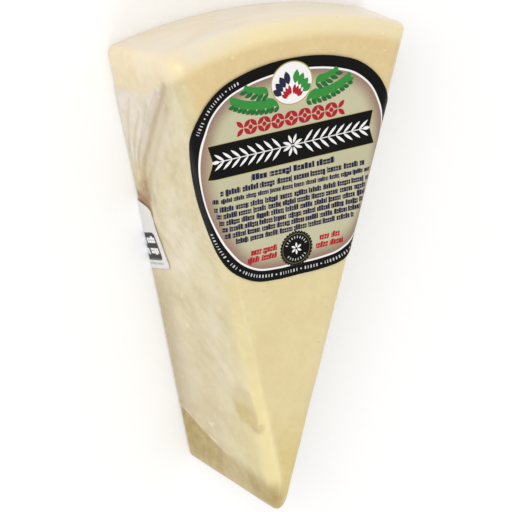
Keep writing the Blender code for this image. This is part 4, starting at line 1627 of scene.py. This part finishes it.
def sticker_to_back(p, q):
    """From the sticker's flat frame to the plan of the lower face, and the height up the left face."""
    cos, sin = math.cos(STICKER_SLOPE), math.sin(STICKER_SLOPE)
    along = STICKER_CORNER[0] + p * cos - q * sin
    rise = STICKER_CORNER[1] - p * sin - q * cos
    _, (dx, dy), (nx, ny) = flat_side("left", 0.0, 0.0)
    start = LOWER["point"]
    inward = LOWER_ROUND * (2 - math.pi / 2) - rise
    return start[0] - dx * along + nx * inward, start[1] - dy * along + ny * inward, rise


def make_sticker_sheet():
    points, flat = [], []
    for row in range(STICKER_ROWS + 1):
        q = STICKER_WIDTH * row / STICKER_ROWS
        inner_trim = corner_trim(STICKER_WIDTH - q, STICKER_ROUND["inner"])
        first = corner_trim(q, STICKER_ROUND["outer_low"]) + inner_trim
        last = STICKER_LENGTH - corner_trim(q, STICKER_ROUND["outer_high"]) - inner_trim
        for column in range(STICKER_COLUMNS + 1):
            p = first + (last - first) * column / STICKER_COLUMNS
            x, y, rise = sticker_to_back(p, q)
            side = float(on_side_share(rise))
            lift = STICKER_LIFT["under"] + (STICKER_LIFT["side"] - STICKER_LIFT["under"]) * side
            points.append(fold(x, y, lift, "lower"))
            flat.append((p, q))
    faces = []
    across = STICKER_COLUMNS + 1
    for row in range(STICKER_ROWS):
        for column in range(STICKER_COLUMNS):
            corner = row * across + column
            faces.append((corner, corner + 1, corner + across + 1, corner + across))
    corners = np.array([flat[k] for face in faces for k in face]) / MAP_SIZE
    return mesh_piece("back_sticker_sheet", points, faces, {"sheet": corners})


sticker_sheet = make_sticker_sheet()
give_thickness(sticker_sheet, STICKER_PAPER)
print("sticker:", len(sticker_sheet.data.polygons), "faces")

# %% [markdown]
# ## The sticker's print
# The white paper carries a dark rounded badge with plain marks, and two rows of small grey ones. The rows run up the
# sticker, so they are drawn with its two directions swapped.

# %% Sticker print
STICKER_BADGE = ((6.7, 8.0), (4.1, 6.0))
BADGE_ROUND = 1.3
BADGE_MARKS = [(-5.2, 1.9, 7.0), (-8.3, 1.9, 19.0)]  # level, height, seed
SMALL_MARKS = [(-1.55, 0.75, 5.0), (-2.75, 0.75, 9.0)]


def rounded_box(x, y, middle, half, radius):
    """A rectangle with rounded corners, from its middle and its half sides."""
    core = box(x, y, middle, (half[0] - radius, half[1] - radius))
    dx = ((x - middle[0]).size() - half[0] + radius).most(0.0)
    dy = ((y - middle[1]).size() - half[1] + radius).most(0.0)
    return ((dx * dx + dy * dy).root() - radius).most(core - radius)


def sticker_finish():
    r = Recipe("sticker_print")
    p, q = r.flat("sheet")
    fibre = r.noise(r.place((0.4, 0.4, 0.4)), 2.0)
    paint = r.mix(fibre.step(0.3, 0.7) * 0.5, colour(219, 217, 213), colour(211, 209, 205))
    badge = rounded_box(p, q, *STICKER_BADGE, BADGE_ROUND)
    paint = r.mix(inside(badge), paint, colour(26, 25, 24))
    upper_row, lower_row = (block_row(r, q, 0.0 - p, *row, 0.62) for row in BADGE_MARKS)
    marks = upper_row.most(lower_row)
    paint = r.mix(marks * inside(badge + 0.7), paint, INK_WHITE)
    upper_row, lower_row = (block_row(r, q, 0.0 - p, *row, 0.62) for row in SMALL_MARKS)
    small = upper_row.most(lower_row)
    paint = r.mix(small * 0.55 * inside((q - 9.0).size() - 6.5), paint, colour(120, 120, 120))
    return r.finish(Base_Color=paint, Roughness=0.42 + fibre * 0.1, Normal=r.bump(fibre, PAPER_GRAIN))


sticker_sheet.data.materials.append(sticker_finish())
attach(sticker_sheet, "root")
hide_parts("back_sticker")
print("sticker print:", sticker_sheet.data.materials[0].name)

# %% [markdown]
# ## Table and light
# The piece stands in for a studio picture on white. The table is one pale sheet. The sky is an even white, so that
# shadows stay soft, and two wide lamps give the upper left its brighter side.

# %% Table and light
TABLE_HALF = 1500.0
SKY_STRENGTH = 0.82
LAMP_WIDTH = 0.7
LAMP_TARGET = Vector((0, 0, 0.02))
LAMPS = {"upper_left_lamp": ((-0.75, 0.55, 0.95), 5.0), "front_lamp": ((-0.2, -0.9, 0.9), 2.0)}


def make_table():
    """One flat square under the wedge."""
    half = TABLE_HALF
    points = np.array([(-half, -half, 0), (half, -half, 0), (half, half, 0), (-half, half, 0)])
    table = mesh_piece("table", points, [(0, 1, 2, 3)])
    r = Recipe("pale_table")
    grain = r.noise(r.place((60.0, 60.0, 60.0)), 2.0)
    table.data.materials.append(r.finish(
        Base_Color=r.mix(grain, colour(252, 252, 252), colour(250, 250, 250)), Roughness=0.7,
        Specular_IOR_Level=0.2,
    ))
    return table


def soft_lamp(name, place, watts):
    """A wide square lamp that looks at the middle of the wedge."""
    light = bpy.data.lights.new(name, "AREA")
    light.size = LAMP_WIDTH
    light.energy = watts
    lamp = bpy.data.objects.new(name, light)
    lamp.location = place
    lamp.rotation_euler = (LAMP_TARGET - Vector(place)).to_track_quat("-Z", "Y").to_euler()
    bpy.context.scene.collection.objects.link(lamp)
    return lamp


table = make_table()
world = bpy.data.worlds.new("even_sky")
bpy.context.scene.world = world
world.use_nodes = True
world.node_tree.nodes["Background"].inputs["Color"].default_value = (1.0, 1.0, 1.0, 1.0)
world.node_tree.nodes["Background"].inputs["Strength"].default_value = SKY_STRENGTH
lamps = [soft_lamp(name, place, watts) for name, (place, watts) in LAMPS.items()]
bpy.context.scene.view_settings.view_transform = "Standard"
print("lamps:", len(lamps))

# %% [markdown]
# ## The camera
# The picture was taken from above the left side with a long lens. The place and the turn were found by fitting the
# wedge's outline and the round seal to the picture. The camera's own axes are its right, its up and its back.

# %% Camera
PICTURE_SIDE = 512
FOCAL_LENGTH = 2001.0
SENSOR = 36.0
CAMERA_PLACE = (-0.261277, 0.189395, 0.481070)
LOOK = Vector((0.457371, -0.336578, -0.823120))
PICTURE_UP = Vector((0.157485, 0.941633, -0.297532))

lens = bpy.data.cameras.new("picture_camera")
lens.sensor_width = SENSOR
lens.lens = FOCAL_LENGTH / PICTURE_SIDE * SENSOR
camera = bpy.data.objects.new("picture_camera", lens)
right = LOOK.cross(PICTURE_UP).normalized()
turn = Matrix((right, right.cross(LOOK), -LOOK)).transposed()
camera.matrix_world = Matrix.Translation(CAMERA_PLACE) @ turn.to_4x4()
bpy.context.scene.collection.objects.link(camera)
bpy.context.scene.camera = camera
print("lens in mm:", round(lens.lens, 1))

# %% [markdown]
